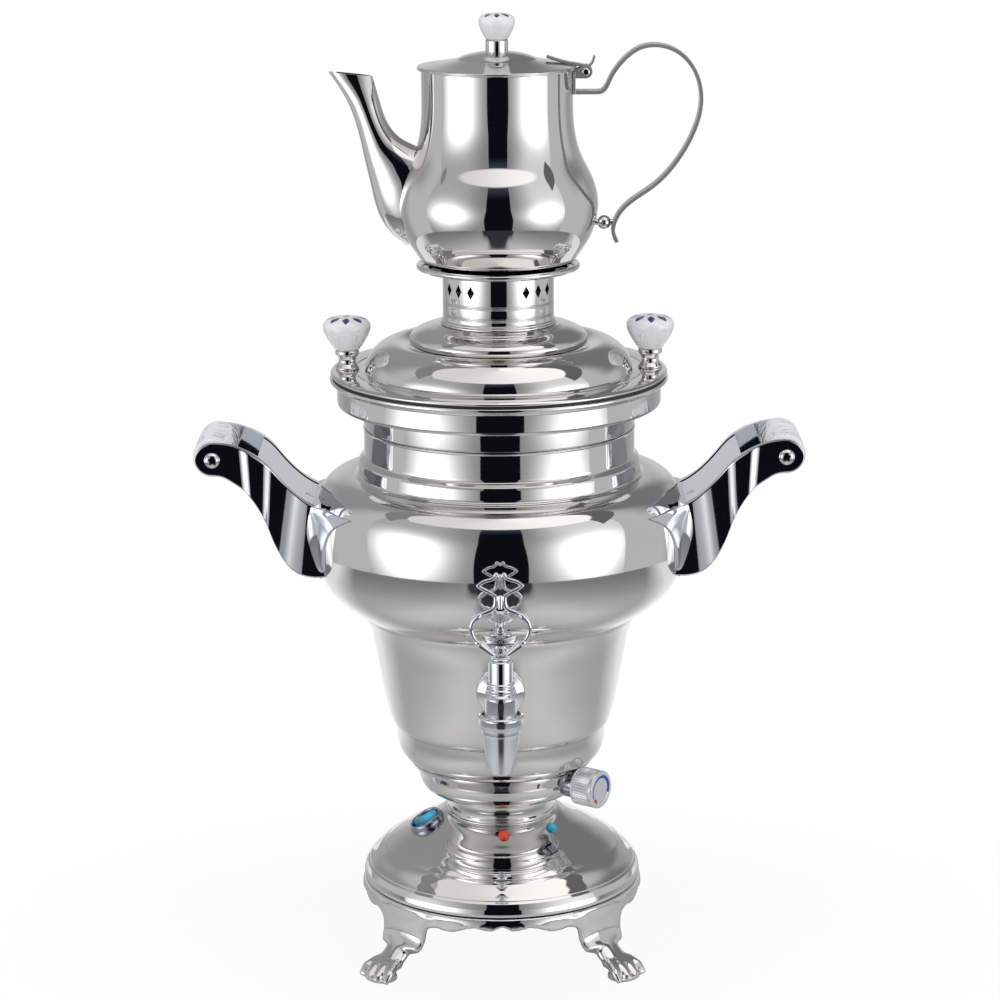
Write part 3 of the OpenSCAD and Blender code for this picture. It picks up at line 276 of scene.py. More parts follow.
def standing(angle: float, distance: float, height: float) -> Matrix:
    """Frame whose +Z points outwards at an angle round the axis, in degrees."""
    return (Matrix.Rotation(math.radians(angle), 4, "Z") @ Matrix.Translation((distance, 0, height))
            @ Matrix.Rotation(math.pi / 2, 4, "Y"))


def pick(*pieces: Piece) -> None:
    """Selects only these pieces and makes the first one active."""
    bpy.ops.object.select_all(action="DESELECT")
    for piece in pieces:
        piece.select_set(True)
    bpy.context.view_layer.objects.active = pieces[0]


def copied(piece: Piece) -> Piece:
    """Copies a piece together with its mesh."""
    pick(piece)
    bpy.ops.object.duplicate()
    return bpy.context.active_object


def added(name: str, primitive: Callable[..., object], **settings: object) -> Piece:
    """Adds a primitive and stays in edit mode with all of it selected.

    Args:
        name: Name of the new piece.
        primitive: Operator that adds it.
        **settings: Values for the operator.

    Returns:
        The piece.
    """
    bpy.ops.object.select_all(action="DESELECT")
    primitive(**settings)
    piece = bpy.context.active_object
    piece.name = piece.data.name = name
    bpy.ops.object.mode_set(mode="EDIT")
    bpy.ops.mesh.select_all(action="SELECT")
    return piece


def begin(name: str) -> Piece:
    """Starts a piece as a single vertex in edit mode."""
    piece = added(name, bpy.ops.mesh.primitive_plane_add, size=MM)
    bpy.ops.mesh.merge(type="CENTER")
    return piece


@contextmanager
def kneaded(piece: Piece) -> Iterator[bmesh.types.BMesh]:
    """Hands over the active piece's mesh in edit mode and writes it back afterwards."""
    bpy.ops.object.mode_set(mode="EDIT")
    shape = bmesh.from_edit_mesh(piece.data)
    yield shape
    bmesh.update_edit_mesh(piece.data)
    bpy.ops.object.mode_set(mode="OBJECT")


def chain(points: Sequence[Vector]) -> None:
    """Moves the single vertex to the first point and extrudes it on through the others."""
    bpy.ops.transform.translate(value=points[0] * MM)
    for a, b in zip(points, points[1:]):
        bpy.ops.mesh.extrude_vertices_move(TRANSFORM_OT_translate={"value": (b - a) * MM})


def smooth(angle: float) -> None:
    """Shades the active piece smooth where its edges are flatter than an angle in degrees."""
    bpy.ops.object.shade_smooth_by_angle(angle=math.radians(angle))


def leave(smooth_angle: float) -> None:
    """Leaves edit mode and shades the active piece smooth below an angle in degrees."""
    bpy.ops.object.mode_set(mode="OBJECT")
    smooth(smooth_angle)


def face_out(piece: Piece, axis_point: Vector | None = None) -> None:
    """Merges doubles and turns all faces outwards.

    Args:
        piece: The piece, which is active and in edit mode.
        axis_point: For an open shell, a point inside it, in metres.
    """
    bpy.ops.mesh.select_all(action="SELECT")
    bpy.ops.mesh.remove_doubles(threshold=2e-6)
    bpy.ops.mesh.normals_make_consistent(inside=False)
    shape = bmesh.from_edit_mesh(piece.data)
    if axis_point is None:
        wrong = shape.calc_volume(signed=True) < 0
    else:
        far = max(shape.faces, key=lambda f: (f.calc_center_median() - axis_point).length)
        wrong = far.normal.dot(far.calc_center_median() - axis_point) < 0
    if wrong:
        bpy.ops.mesh.flip_normals()


def shape_with(piece: Piece, kind: str, **settings: object) -> None:
    """Adds a modifier to the piece and applies it.

    Args:
        piece: The piece to shape.
        kind: Modifier type.
        **settings: Values of the modifier's own properties.
    """
    pick(piece)
    bpy.ops.object.modifier_add(type=kind)
    modifier = piece.modifiers[-1]
    for key, value in settings.items():
        setattr(modifier, key, value)
    bpy.ops.object.modifier_apply(modifier=modifier.name)


def carve(piece: Piece, tool: Piece) -> None:
    """Cuts the piece with a tool, which is used up."""
    shape_with(piece, "BOOLEAN", operation="DIFFERENCE", object=tool, solver="EXACT")
    bpy.data.objects.remove(tool, do_unlink=True)


def braced(outline: Sequence[Point], turn: float = 9.0, gap: float = 0.25) -> Path:
    """Adds a point beside each corner of long stretches, so that their shading stays flat.

    Args:
        outline: The points.
        turn: Smallest change of direction that counts as a corner, in degrees.
        gap: Distance of the added points from the corners.

    Returns:
        The outline with the added points.
    """
    steps = [Vector(b) - Vector(a) for a, b in zip(outline, outline[1:])]
    result = [outline[0]]
    for i, step in enumerate(steps):
        length = step.length
        way = step.normalized() if length else step
        bend_before = i and steps[i - 1].length and math.degrees(way.angle(steps[i - 1], 0)) > turn
        bend_after = i + 1 < len(steps) and steps[i + 1].length and math.degrees(way.angle(steps[i + 1], 0)) > turn
        if length > 6 * gap and bend_before:
            result.append(tuple(Vector(outline[i]) + way * gap))
        if length > 6 * gap and bend_after:
            result.append(tuple(Vector(outline[i + 1]) - way * gap))
        result.append(outline[i + 1])
    return result


def lathe(name: str, outline: Sequence[Point], steps: int = 160, place: Matrix = UPRIGHT,
          wall: float = 0.0, smooth_angle: float = 40.0) -> Piece:
    """Turns an outline round the Z axis of a placed frame.

    Args:
        name: Name of the piece.
        outline: Radius and height of each point.
        steps: Pieces round the axis.
        place: Frame of the turning axis, in millimetres.
        wall: Sheet thickness inside an open outline, or 0 for a closed one.
        smooth_angle: Edges flatter than this many degrees are shaded smooth.

    Returns:
        The turned piece.
    """
    piece = begin(name)
    outline = braced(outline)
    chain([place @ Vector((r, 0, z)) for r, z in outline])
    bpy.ops.mesh.select_all(action="SELECT")
    bpy.ops.mesh.spin(steps=steps, angle=math.tau, center=place.translation * MM, axis=place.to_3x3() @ Z_AXIS)
    middle = sum(z for _, z in outline) / len(outline)
    face_out(piece, (place @ Vector((0, 0, middle))) * MM if wall else None)
    leave(smooth_angle)
    if wall:
        shape_with(piece, "SOLIDIFY", thickness=wall * MM, offset=-1, use_even_offset=True)
        smooth(smooth_angle)
    return piece


def plate(name: str, outline: Sequence[Vector], depth: Vector, bevel: float = 0.0) -> Piece:
    """Extrudes a closed flat outline.

    Args:
        name: Name of the piece.
        outline: Corners in order, in millimetres.
        depth: Way and distance of the extrusion.
        bevel: Width of the rounded edges, or 0.

    Returns:
        The piece.
    """
    piece = begin(name)
    chain(outline)
    bpy.ops.mesh.select_all(action="SELECT")
    bpy.ops.mesh.edge_face_add()
    bpy.ops.mesh.extrude_region_move(TRANSFORM_OT_translate={"value": depth * MM})
    face_out(piece)
    leave(30)
    if bevel:
        shape_with(piece, "BEVEL", width=bevel * MM, segments=3, limit_method="ANGLE",
                   angle_limit=math.radians(40))
        smooth(45)
    return piece


def loft(name: str, rings: Sequence[Sequence[Vector]], smooth_angle: float = 50.0) -> Piece:
    """Extrudes a face from ring to ring and leaves both ends closed.

    Args:
        name: Name of the piece.
        rings: Corners of each ring in millimetres, all with the same count.
        smooth_angle: Edges flatter than this many degrees are shaded smooth.

    Returns:
        The closed piece.
    """
    piece = added(name, bpy.ops.mesh.primitive_circle_add, vertices=len(rings[0]), radius=MM, fill_type="NGON")
    for index, ring in enumerate(rings):
        if index:
            bpy.ops.mesh.extrude_region_move()
        shape = bmesh.from_edit_mesh(piece.data)
        for vertex, corner in zip([v for v in shape.verts if v.select], ring):
            vertex.co = corner * MM
        bmesh.update_edit_mesh(piece.data)
    face_out(piece)
    leave(smooth_angle)
    return piece


def rod(name: str, path: Sequence[Vector], sizes: Callable[[float], Point], sides: int = 16,
        power: float = 1.0, smooth_angle: float = 50.0) -> Piece:
    """Lofts a rod along a path that runs more or less square to the Y axis.

    Args:
        name: Name of the piece.
        path: Points along the middle of the rod.
        sizes: Half height and half width along Y, for a share of the path.
        sides: Corners of each ring.
        power: Below 1 the rings grow squarer.
        smooth_angle: Edges flatter than this many degrees are shaded smooth.

    Returns:
        The rod.
    """
    rings = []
    last = len(path) - 1
    for i, point in enumerate(path):
        along = (path[min(i + 1, last)] - path[max(i - 1, 0)]).normalized()
        up = Y_AXIS.cross(along).normalized()
        tall, wide = sizes(i / last)
        ring = []
        for k in range(sides):
            c, s = math.cos(math.tau * k / sides), math.sin(math.tau * k / sides)
            c, s = (math.copysign(abs(v) ** power, v) for v in (c, s))
            ring.append(point + up * tall * c + Y_AXIS * wide * s)
        rings.append(ring)
    return loft(name, rings, smooth_angle)


def stood(points: Sequence[Point], y: float = 0.0) -> list[Vector]:
    """Stands a flat path up in the XZ plane at depth y."""
    return [Vector((x, y, z)) for x, z in points]


def ball(name: str, place: Vector, radius: float, segments: int = 32) -> Piece:
    """Adds a ball whose place is in its mesh."""
    piece = added(name, bpy.ops.mesh.primitive_uv_sphere_add, segments=segments, ring_count=segments // 2,
                  radius=radius * MM)
    bpy.ops.transform.translate(value=place * MM)
    leave(60)
    return piece


def moved(piece: Piece, move: Matrix) -> None:
    """Moves a piece's mesh by a frame given in millimetres."""
    shift = move.copy()
    shift.translation = move.translation * MM
    piece.data.transform(shift)


def joined(name: str, pieces: Sequence[Piece]) -> Piece:
    """Joins pieces into the first one and names it."""
    pick(*pieces)
    bpy.ops.object.join()
    result = bpy.context.active_object
    result.name = result.data.name = name
    return result


def twin(piece: Piece, name: str) -> Piece:
    """Copies a piece to the other side of the samovar, with its own mesh."""
    copy = copied(piece)
    copy.name = copy.data.name = name
    bpy.ops.object.mode_set(mode="EDIT")
    bpy.ops.mesh.select_all(action="SELECT")
    bpy.ops.transform.resize(value=(-1, 1, 1), center_override=(0, 0, 0))
    bpy.ops.mesh.flip_normals()
    if bmesh.from_edit_mesh(copy.data).calc_volume(signed=True) < 0:
        bpy.ops.mesh.flip_normals()
    bpy.ops.object.mode_set(mode="OBJECT")
    return copy


# ------------------------------------------------------------------ materials


def operator(operation: str, swapped: bool = False) -> Callable[..., "Wire"]:
    """Makes a method of Wire out of an operation of the Math node.

    Args:
        operation: The node's operation.
        swapped: Whether the wire comes after the other value.

    Returns:
        The method.
    """
    def method(wire: "Wire", *others: object) -> "Wire":
        """Adds the Math node and returns its result."""
        values = (*others, wire) if swapped else (wire, *others)
        return wire.graph.node("ShaderNodeMath", {"operation": operation}, dict(enumerate(values)))

    return method


class Wire:
    """A shader socket that can be used in sums and comparisons.

    Comparisons give 1 where they hold. The sine takes radians; a.turn_of(b) is the angle in
    radians whose tangent is a / b.
    """

    __add__ = __radd__ = operator("ADD")
    __mul__ = __rmul__ = operator("MULTIPLY")
    __sub__ = operator("SUBTRACT")
    __rsub__ = operator("SUBTRACT", swapped=True)
    __gt__ = operator("GREATER_THAN")
    __lt__ = operator("LESS_THAN")
    __pow__ = operator("POWER")
    __rpow__ = operator("POWER", swapped=True)
    __abs__ = operator("ABSOLUTE")
    sine = operator("SINE")
    turn_of = operator("ARCTAN2")

    def __init__(self, graph: "Graph", socket: bpy.types.NodeSocket) -> None:
        """Keeps the graph and the output socket."""
        self.graph = graph
        self.socket = socket

    def clipped(self) -> "Wire":
        """Clips to the range 0 to 1."""
        return self.graph.node("ShaderNodeClamp", {}, {"Value": self})


class Graph:
    """The node tree of one material."""

    def __init__(self, name: str) -> None:
        """Starts a material with only a Principled shader and its output."""
        self.material = bpy.data.materials.new(name)
        self.material.use_nodes = True
        self.tree = self.material.node_tree
        self.tree.nodes.clear()
        self.output = self.tree.nodes.new("ShaderNodeOutputMaterial")
        self.shader = self.tree.nodes.new("ShaderNodeBsdfPrincipled")
        self.tree.links.new(self.shader.outputs[0], self.output.inputs["Surface"])

    def node(self, kind: str, settings: dict[str, object], values: dict[object, object],
             output: object = 0) -> Wire:
        """Adds a node.

        Args:
            kind: Node type.
            settings: Values of the node's own properties, set first.
            values: Number, colour or Wire for each input socket.
            output: Which output the result stands for.

        Returns:
            That output.
        """
        node = self.tree.nodes.new(kind)
        for key, value in settings.items():
            setattr(node, key, value)
        for key, value in values.items():
            if isinstance(value, Wire):
                self.tree.links.new(value.socket, node.inputs[key])
            else:
                node.inputs[key].default_value = value
        return Wire(self, node.outputs[output])

    def set(self, **values: object) -> None:
        """Sets or links inputs of the Principled shader; underscores stand for spaces."""
        for key, value in values.items():
            socket = self.shader.inputs[key.replace("_", " ")]
            if isinstance(value, Wire):
                self.tree.links.new(value.socket, socket)
            else:
                socket.default_value = value

    def place(self) -> Wire:
        """Returns the object coordinates."""
        return self.node("ShaderNodeTexCoord", {}, {}, "Object")

    def noise(self, scale: float, detail: float = 4.0, stretch: Vector = Vector((1, 1, 1))) -> Wire:
        """Returns noise of a scale per metre, stretched along the axes."""
        vector = self.node("ShaderNodeMapping", {}, {"Vector": self.place(), "Scale": stretch})
        return self.node("ShaderNodeTexNoise", {}, {"Vector": vector, "Scale": scale, "Detail": detail}, "Fac")

    def vector(self, operation: str, first: object, second: object, output: object = 0) -> Wire:
        """Adds a Vector Math node of this operation on two values."""
        return self.node("ShaderNodeVectorMath", {"operation": operation}, {0: first, 1: second}, output)

    def along(self, origin: Vector, direction: Vector) -> Wire:
        """Returns the distance in millimetres from an origin along a direction."""
        offset = self.vector("SUBTRACT", self.place(), origin * MM)
        return self.vector("DOT_PRODUCT", offset, direction.normalized() / MM, "Value")

    def axes(self, origin: Vector) -> tuple[Wire, Wire, Wire]:
        """Returns the distances in millimetres from an origin along X, Y and Z."""
        x, y, z = (self.along(origin, axis) for axis in (X_AXIS, Y_AXIS, Z_AXIS))
        return x, y, z

    def tinted(self, colour: Colour | Wire, strength: Wire) -> Wire:
        """Scales a colour."""
        return self.vector("MULTIPLY", colour, strength)

    def blend(self, mask: Wire, first: Colour | Wire, second: Colour | Wire) -> Wire:
        """Mixes two colours by a mask; 1 gives the second."""
        colours = [(*c, 1.0) if isinstance(c, tuple) else c for c in (first, second)]
        return self.node("ShaderNodeMix", {"data_type": "RGBA"}, {0: mask, 6: colours[0], 7: colours[1]}, 2)

    def bump(self, height: Wire, depth: float, strength: float) -> None:
        """Feeds a height into the normal, with its depth in millimetres."""
        self.set(Normal=self.node("ShaderNodeBump", {}, {"Height": height, "Distance": depth * MM,
                                                         "Strength": strength}))


@dataclass(frozen=True)
class Metal:
    """A metal finish.

    Attributes:
        name: Name of the material.
        colour: Its reflected colour.
        roughness: Roughness of the clean surface.
        haze: How much the roughness varies.
        metallic: Share of the mirrored light; a ground surface scatters the rest.
    """

    name: str
    colour: Colour
    roughness: float = 0.04
    haze: float = 0.03
    metallic: float = 1.0

    def make(self) -> bpy.types.Material:
        """Builds the material."""
        graph = Graph(self.name)
        cloud = graph.noise(38, 3)
        lines = graph.noise(900, 2, Vector((0.05, 0.05, 1)))
        dull = tuple(c * 0.93 for c in self.colour)
        graph.set(Metallic=self.metallic, Base_Color=graph.blend(cloud, self.colour, dull),
                  Roughness=self.roughness + self.haze * cloud * lines)
        return graph.material


@dataclass(frozen=True)
class Gloss:
    """A plain glossy or matt moulding.

    Attributes:
        name: Name of the material.
        colour: Base colour.
        roughness: Roughness.
    """

    name: str
    colour: Colour
    roughness: float = 0.3

    def make(self) -> bpy.types.Material:
        """Builds the material."""
        graph = Graph(self.name)
        grain = graph.noise(260, 3)
        graph.set(Base_Color=graph.blend(grain, self.colour, tuple(c * 0.88 for c in self.colour)),
                  Roughness=self.roughness + 0.08 * grain)
        return graph.material


@dataclass(frozen=True)
class Lens:
    """A clear coloured cap that is lit from behind.

    Attributes:
        name: Name of the material.
        colour: Colour at the rim.
        core: Colour at the middle.
        middle: Middle of the cap in millimetres.
        radius: Radius of the cap.
        glow: Strength of the light in its middle.
    """

    name: str
    colour: Colour
    core: Colour
    middle: Vector
    radius: float
    glow: float = 0.4

    def make(self) -> bpy.types.Material:
        """Builds the material."""
        graph = Graph(self.name)
        offset = graph.vector("DISTANCE", graph.place(), self.middle * MM, "Value")
        near = (1 - offset * (1 / (self.radius * MM))).clipped()
        cells = graph.node("ShaderNodeTexVoronoi", {"feature": "F1"},
                           {"Vector": graph.place(), "Scale": 700.0}, "Distance")
        hue = graph.blend(near ** 1.4, self.colour, self.core)
        graph.set(Base_Color=hue, Roughness=0.16 + 0.06 * cells, Coat_Weight=0.35,
                  Emission_Color=hue, Emission_Strength=self.glow)
        graph.bump(cells, 0.25, 0.35)
        return graph.material


@dataclass(frozen=True)
class Glaze:
    """White porcelain glaze with something painted on it.

    Attributes:
        name: Name of the material.
        middle: Middle of the piece; of a knob, the middle of its widest ring.
        radius: Radius of the piece.
        white: Colour of the glaze.
        cobalt: Colour of the paint.
    """

    name: str
    middle: Vector
    radius: float
    white: Colour
    cobalt: Colour

    def fired(self, graph: Graph, paint: Wire, thin: float, thick: float) -> bpy.types.Material:
        """Lays the paint, which is washed unevenly, under the glaze.

        Args:
            graph: The material's node tree.
            paint: 1 where there is paint.
            thin: Strength of the paint where the wash is thinnest.
            thick: What the wash adds to it.

        Returns:
            The material.
        """
        wash = graph.noise(420, 2)
        mask = (paint * (thin + thick * wash)).clipped()
        graph.set(Base_Color=graph.blend(mask, self.white, self.cobalt),
                  Roughness=0.07 + 0.05 * wash, Coat_Weight=0.6, Coat_Roughness=0.03)
        return graph.material


@dataclass(frozen=True)
class Porcelain(Glaze):
    """Glaze of a knob with a cobalt flower on its top.

    Attributes:
        petals: Number of petals.
    """

    white: Colour = (0.88, 0.89, 0.91)
    cobalt: Colour = (0.012, 0.02, 0.17)
    petals: int = 8

    def make(self) -> bpy.types.Material:
        """Builds the material."""
        graph = Graph(self.name)
        x, y, z = graph.axes(self.middle)
        distance = (x * x + y * y) ** 0.5 * (1 / self.radius)
        swing = abs((y.turn_of(x) * (self.petals / 2)).sine())
        body = (distance - 0.34) * (0.92 - distance) * 10.4
        petal = ((body - swing) * 6).clipped()
        heart = ((0.16 - distance) * 30).clipped()
        top = ((z - self.radius * 0.2) * 1.5).clipped()
        return self.fired(graph, (petal + heart).clipped() * top, 0.72, 0.5)


@dataclass(frozen=True)
class GripGlaze(Glaze):
    """Glaze of a side grip with small cobalt scrolls round it."""

    white: Colour = (0.88, 0.90, 0.93)
    cobalt: Colour = (0.03, 0.05, 0.26)

    def make(self) -> bpy.types.Material:
        """Builds the material."""
        graph = Graph(self.name)
        x, y, z = graph.axes(self.middle)
        turn = z.turn_of(x)
        wave = (turn * 6).sine() * 2.2 + (turn * 12).sine() * 0.9
        scroll = abs(abs(abs(y) - 14) - 3.4 - wave * 0.5)
        line = ((0.75 - scroll) * 2.5).clipped() * ((turn * 6).sine() > -0.2)
        dots = ((0.9 - abs(abs(y) - 14)) * 3).clipped() * ((turn * 6 + 1.2).sine() > 0.86)
        return self.fired(graph, (line + dots).clipped(), 0.6, 0.6)


@dataclass(frozen=True)
class DialFace:
    """Silver plated knob whose face has a blue sweep and a red mark.

    Attributes:
        name: Name of the material.
        middle: Middle of the face.
        outward: Direction in which the face looks.
        radius: Radius of the face.
        sweep: Where the blue sweep starts and ends, in radians from the top.
        mark: Where the red mark starts and ends.
    """

    name: str
    middle: Vector
    outward: Vector
    radius: float
    sweep: Point = (-2.1, 2.0)
    mark: Point = (-2.65, -2.2)

    def make(self) -> bpy.types.Material:
        """Builds the material."""
        graph = Graph(self.name)
        u = graph.along(self.middle, Z_AXIS.cross(self.outward))
        v = graph.along(self.middle, Z_AXIS)
        depth = graph.along(self.middle, self.outward)
        distance = (u * u + v * v) ** 0.5
        turn = u.turn_of(v)
        front = ((depth + 0.9) * 4).clipped()
        ring = self.radius * 0.7

        def painted(width: float | Wire, ends: Point) -> Wire:
            """Gives 1 on a part of the ring."""
            return ((width - abs(distance - ring)) * 4).clipped() * (turn > ends[0]) * (turn < ends[1]) * front

        sweep = painted(0.7 + 0.4 * ((turn - self.sweep[0]) * 0.7).clipped(), self.sweep)
        mark = painted(1.3, self.mark)
        grain = graph.noise(300, 3)
        silver = graph.blend(grain, (0.80, 0.81, 0.83), (0.70, 0.71, 0.74))
        blue = graph.blend(sweep, (0.0, 0.0, 0.0), (0.03, 0.07, 0.42))
        marked = graph.blend(mark, graph.blend(sweep, silver, blue), (0.6, 0.02, 0.02))
        graph.set(Base_Color=marked, Metallic=0.55 - 0.5 * (sweep + mark).clipped(), Roughness=0.26 + 0.1 * grain)
        return graph.material


@dataclass(frozen=True)
class Finish:
    """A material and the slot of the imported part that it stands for."""

    material: bpy.types.Material
    slot: str = "polished_steel"


class Finishes:
    """Every finish that several pieces share, made once."""

    def __init__(self) -> None:
        """Builds the shared materials."""
        self.steel = Finish(Metal("polished_steel", (0.80, 0.79, 0.78), 0.03, 0.03).make())
        self.cast_steel = Finish(self.steel.material, "chrome_casting")
        self.chrome = Finish(Metal("casting_chrome", (0.77, 0.80, 0.85), 0.045, 0.03).make(), "chrome_casting")
        self.ground = Finish(Metal("ground_steel", (0.38, 0.38, 0.375), 0.2, 0.0, metallic=0.4).make())
        self.dark_chrome = Finish(Metal("dark_chrome", (0.36, 0.38, 0.45), 0.16, 0.05).make(), "dark_chrome")
        # Near black for the ring of painted shadow under the lid's edge.
        self.gap = Finish(Gloss("shadow_gap", (0.012, 0.012, 0.012), 0.5).make())


def settle(piece: Piece, finish: Finish, body: Body, *nodes: str) -> None:
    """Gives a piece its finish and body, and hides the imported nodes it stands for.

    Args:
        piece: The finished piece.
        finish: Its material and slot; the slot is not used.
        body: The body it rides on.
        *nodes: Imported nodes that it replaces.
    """
    piece.data.materials.clear()
    piece.data.materials.append(finish.material)
    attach(piece, body.value)
    if nodes:
        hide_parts(*nodes)
    log.info("%s: %d faces on %s", piece.name, len(piece.data.polygons), body.value)


# ------------------------------------------------------------------ base


@dataclass
class Base:
    """Claw footed casting, domed base, neck, bowl and lower band."""

    finishes: Finishes
    foot: Span = spanned("foot_ring")
    dome: Span = spanned("base_dome")
    neck: Span = spanned("neck_tube")
    bowl: Span = spanned("bowl_shell")
    band: Span = spanned("lower_band")
    neck_r: float = 33.3
    dome_top_r: float = 36.0
    bowl_r: float = 52.0
    cast_t: float = 3.4
    claw_reach: float = 106.0
    sheet_t: float = 1.0

    def skirt_low(self, angle: float) -> float:
        """Height of the skirt's lower edge at an angle from the middle of its side, in degrees."""
        marks = [(0, 5.6), (1.5, 6.2), (4, 8.6), (7, 8.2), (11, 6.6), (14, 7.4), (20, 10.6), (23, 10.9),
                 (27, 9.6), (31, 10.4), (35, 15), (38, 22), (41, 25), (45, 26)]
        return self.foot.high - across(marks, abs(angle))

    def skirt(self) -> Piece:
        """Turns the skirt and pulls its lower edge into arches."""
        r, top = self.dome.radius, self.foot.high
        low = top - 6
        outline = [(r - self.cast_t, low), (r - self.cast_t, top - 0.4), (r - 0.4, top - 0.4), (r + 0.4, top - 2.5),
                   (r + 1.5, low), (r - self.cast_t, low)]
        piece = lathe("skirt_blank", outline, 180)
        with kneaded(piece) as shape:
            for vertex in shape.verts:
                if vertex.co.z < (low + 0.5) * MM:
                    turn = math.degrees(math.atan2(vertex.co.y, vertex.co.x))
                    vertex.co.z = self.skirt_low((turn + 45) % 90 - 45) * MM
        return piece

    def leg(self) -> Piece:
        """Lofts one leg along +X, from the skirt over a narrow waist to the claw."""
        r, top = self.dome.radius, self.foot.high
        path = flow([(r - 2.4, top - 4), (r - 2.0, top - 12), (r - 1.2, top - 21), (r + 4, top - 29),
                     (self.claw_reach - 5, 8.6), (self.claw_reach + 1, 6.2)], 4)
        wide = flow([(0, 25), (0.18, 20.5), (0.36, 12.5), (0.56, 9.2), (0.75, 9.4), (1, 11.2)], 6)
        thick = flow([(0, 2.4), (0.4, 4.2), (0.7, 5.0), (1, 4.6)], 6)
        return rod("leg_blank", stood(path), lambda t: (across(thick, t), across(wide, t)), 20)

    def toes(self) -> list[Piece]:
        """Makes the four ridged toes of one claw along +X."""
        result, claw = [], self.claw_reach
        for k in (-1.5, -0.5, 0.5, 1.5):
            spread = 1 + 0.06 * abs(k)
            reach = claw + 8.2 - 1.6 * abs(k)
            path = [(claw - 9, k * 4.3, 9.2), (claw - 3, k * 5.2, 9.0), (claw + 3, k * 6.1 * spread, 6.6),
                    (reach, k * 6.5 * spread, 3.6), (reach + 2.2, k * 6.7 * spread, 1.3)]
            result.append(rod("toe", [Vector(q) for q in path], lambda t: (3.4 - 1.9 * t * t, 3.3 - 1.5 * t ** 3), 12))
        pad = [Vector((claw + 9.5 * math.cos(a) + 1, 11.2 * math.sin(a), 0.2))
               for a in (math.tau * i / 24 for i in range(24))]
        result.append(plate("pad", pad, Vector((0, 0, 3.2)), 0.8))
        return result

    def foot_casting(self) -> None:
        """Joins skirt, legs and claws and melts them into one smooth casting."""
        parts = [self.skirt()]
        corner = joined("corner", [self.leg(), *self.toes()])
        for angle in CORNERS:
            parts.append(copied(corner))
            moved(parts[-1], Matrix.Rotation(math.radians(angle), 4, "Z"))
        bpy.data.objects.remove(corner, do_unlink=True)
        piece = joined("foot_casting", parts)
        shape_with(piece, "REMESH", mode="VOXEL", voxel_size=1.0 * MM)
        shape_with(piece, "SMOOTH", factor=0.5, iterations=5)
        self.level(piece)
        bpy.ops.object.shade_smooth()
        settle(piece, self.finishes.cast_steel, Body.ROOT, "foot_ring")

    def level(self, piece: Piece) -> None:
        """Keeps the casting between the floor and the seam after smoothing."""
        low = min(v.co.z for v in piece.data.vertices)
        for vertex in piece.data.vertices:
            vertex.co.z = min(max(vertex.co.z - low, 0.0), self.foot.high * MM)

    def dome_outline(self) -> Path:
        """Outline of the domed base with its ring lines."""
        start, end = (self.dome.radius, self.dome.low), (self.dome_top_r, self.dome.high)
        rim = placed(start, end, [(0, 0.01), (0, 0.05), (0.012, 0.12), (0.04, 0.205), (0.066, 0.232)])
        roll = flow(placed(start, end, [(0.07, 0.245), (0.114, 0.293), (0.187, 0.40), (0.235, 0.452),
                                        (0.256, 0.47)]))
        step = flow(placed(start, end, [(0.272, 0.478), (0.333, 0.537), (0.46, 0.634), (0.49, 0.655)]))
        top = flow(placed(start, end, [(0.505, 0.668), (0.594, 0.732), (0.746, 0.83), (0.871, 0.93), (0.95, 0.985),
                                       (1, 1)]))
        return eased([*rim, *roll, *step, *top, (self.neck_r - 2, self.dome.high)], 0.45)

    def build(self) -> None:
        """Builds and dresses all shells of the base."""
        self.foot_casting()
        for name, outline, steps, node in (("dome_shell", self.dome_outline(), 200, "base_dome"),
                                           ("neck_shell", self.neck_outline(), 160, "neck_tube"),
                                           ("bowl", self.bowl_outline(), 180, "bowl_shell"),
                                           ("band", self.band_outline(), 180, "lower_band")):
            settle(lathe(name, outline, steps, wall=self.sheet_t), self.finishes.steel, Body.ROOT, node)

    def neck_outline(self) -> Path:
        """Outline of the neck with the ring at its foot."""
        low, high, r = self.neck.low, self.neck.high, self.neck_r
        ring = shifted(r, low, [(0.5, 0), (2.2, 0.05), (2.2, 0.9), (1.0, 1.5), (1.2, 2.4), (0.5, 3.2)])
        return eased([*ring, *flow([(r + 0.1, low + 3.8), (r, low + 6), (r, high - 1), (r + 0.6, high)])])

    def bowl_outline(self) -> Path:
        """Outline of the bowl under the tank."""
        join_r = self.bowl.radius
        low, high = self.bowl.low, self.bowl.high
        bowl = [(self.neck_r - 2, low), *flow(
            placed((self.neck_r, low), (self.bowl_r, high),
                   [(0.12, 0.0), (0.36, 0.035), (0.62, 0.11), (0.82, 0.22), (0.93, 0.34), (0.985, 0.46)]))]
        bead = placed((self.bowl_r, low), (join_r, high), [(0.0, 0.5), (0.03, 0.6), (0.12, 0.645)])
        flare = flow(placed((self.bowl_r, low), (join_r, high), [(0.16, 0.665), (0.5, 0.79), (0.82, 0.91), (1, 0.995)]))
        return eased([*bowl, *bead, *flare])

    def band_outline(self) -> Path:
        """Outline of the band between bowl and vase."""
        start, end = (self.bowl.radius, self.band.low), (self.band.radius, self.band.high)
        return flow(placed(start, end, [(0, 0.01), (0.25, 0.08), (0.5, 0.18), (0.75, 0.32), (0.92, 0.48), (1, 0.66),
                                        (1, 0.84), (1, 1)]))


# ------------------------------------------------------------------ tank


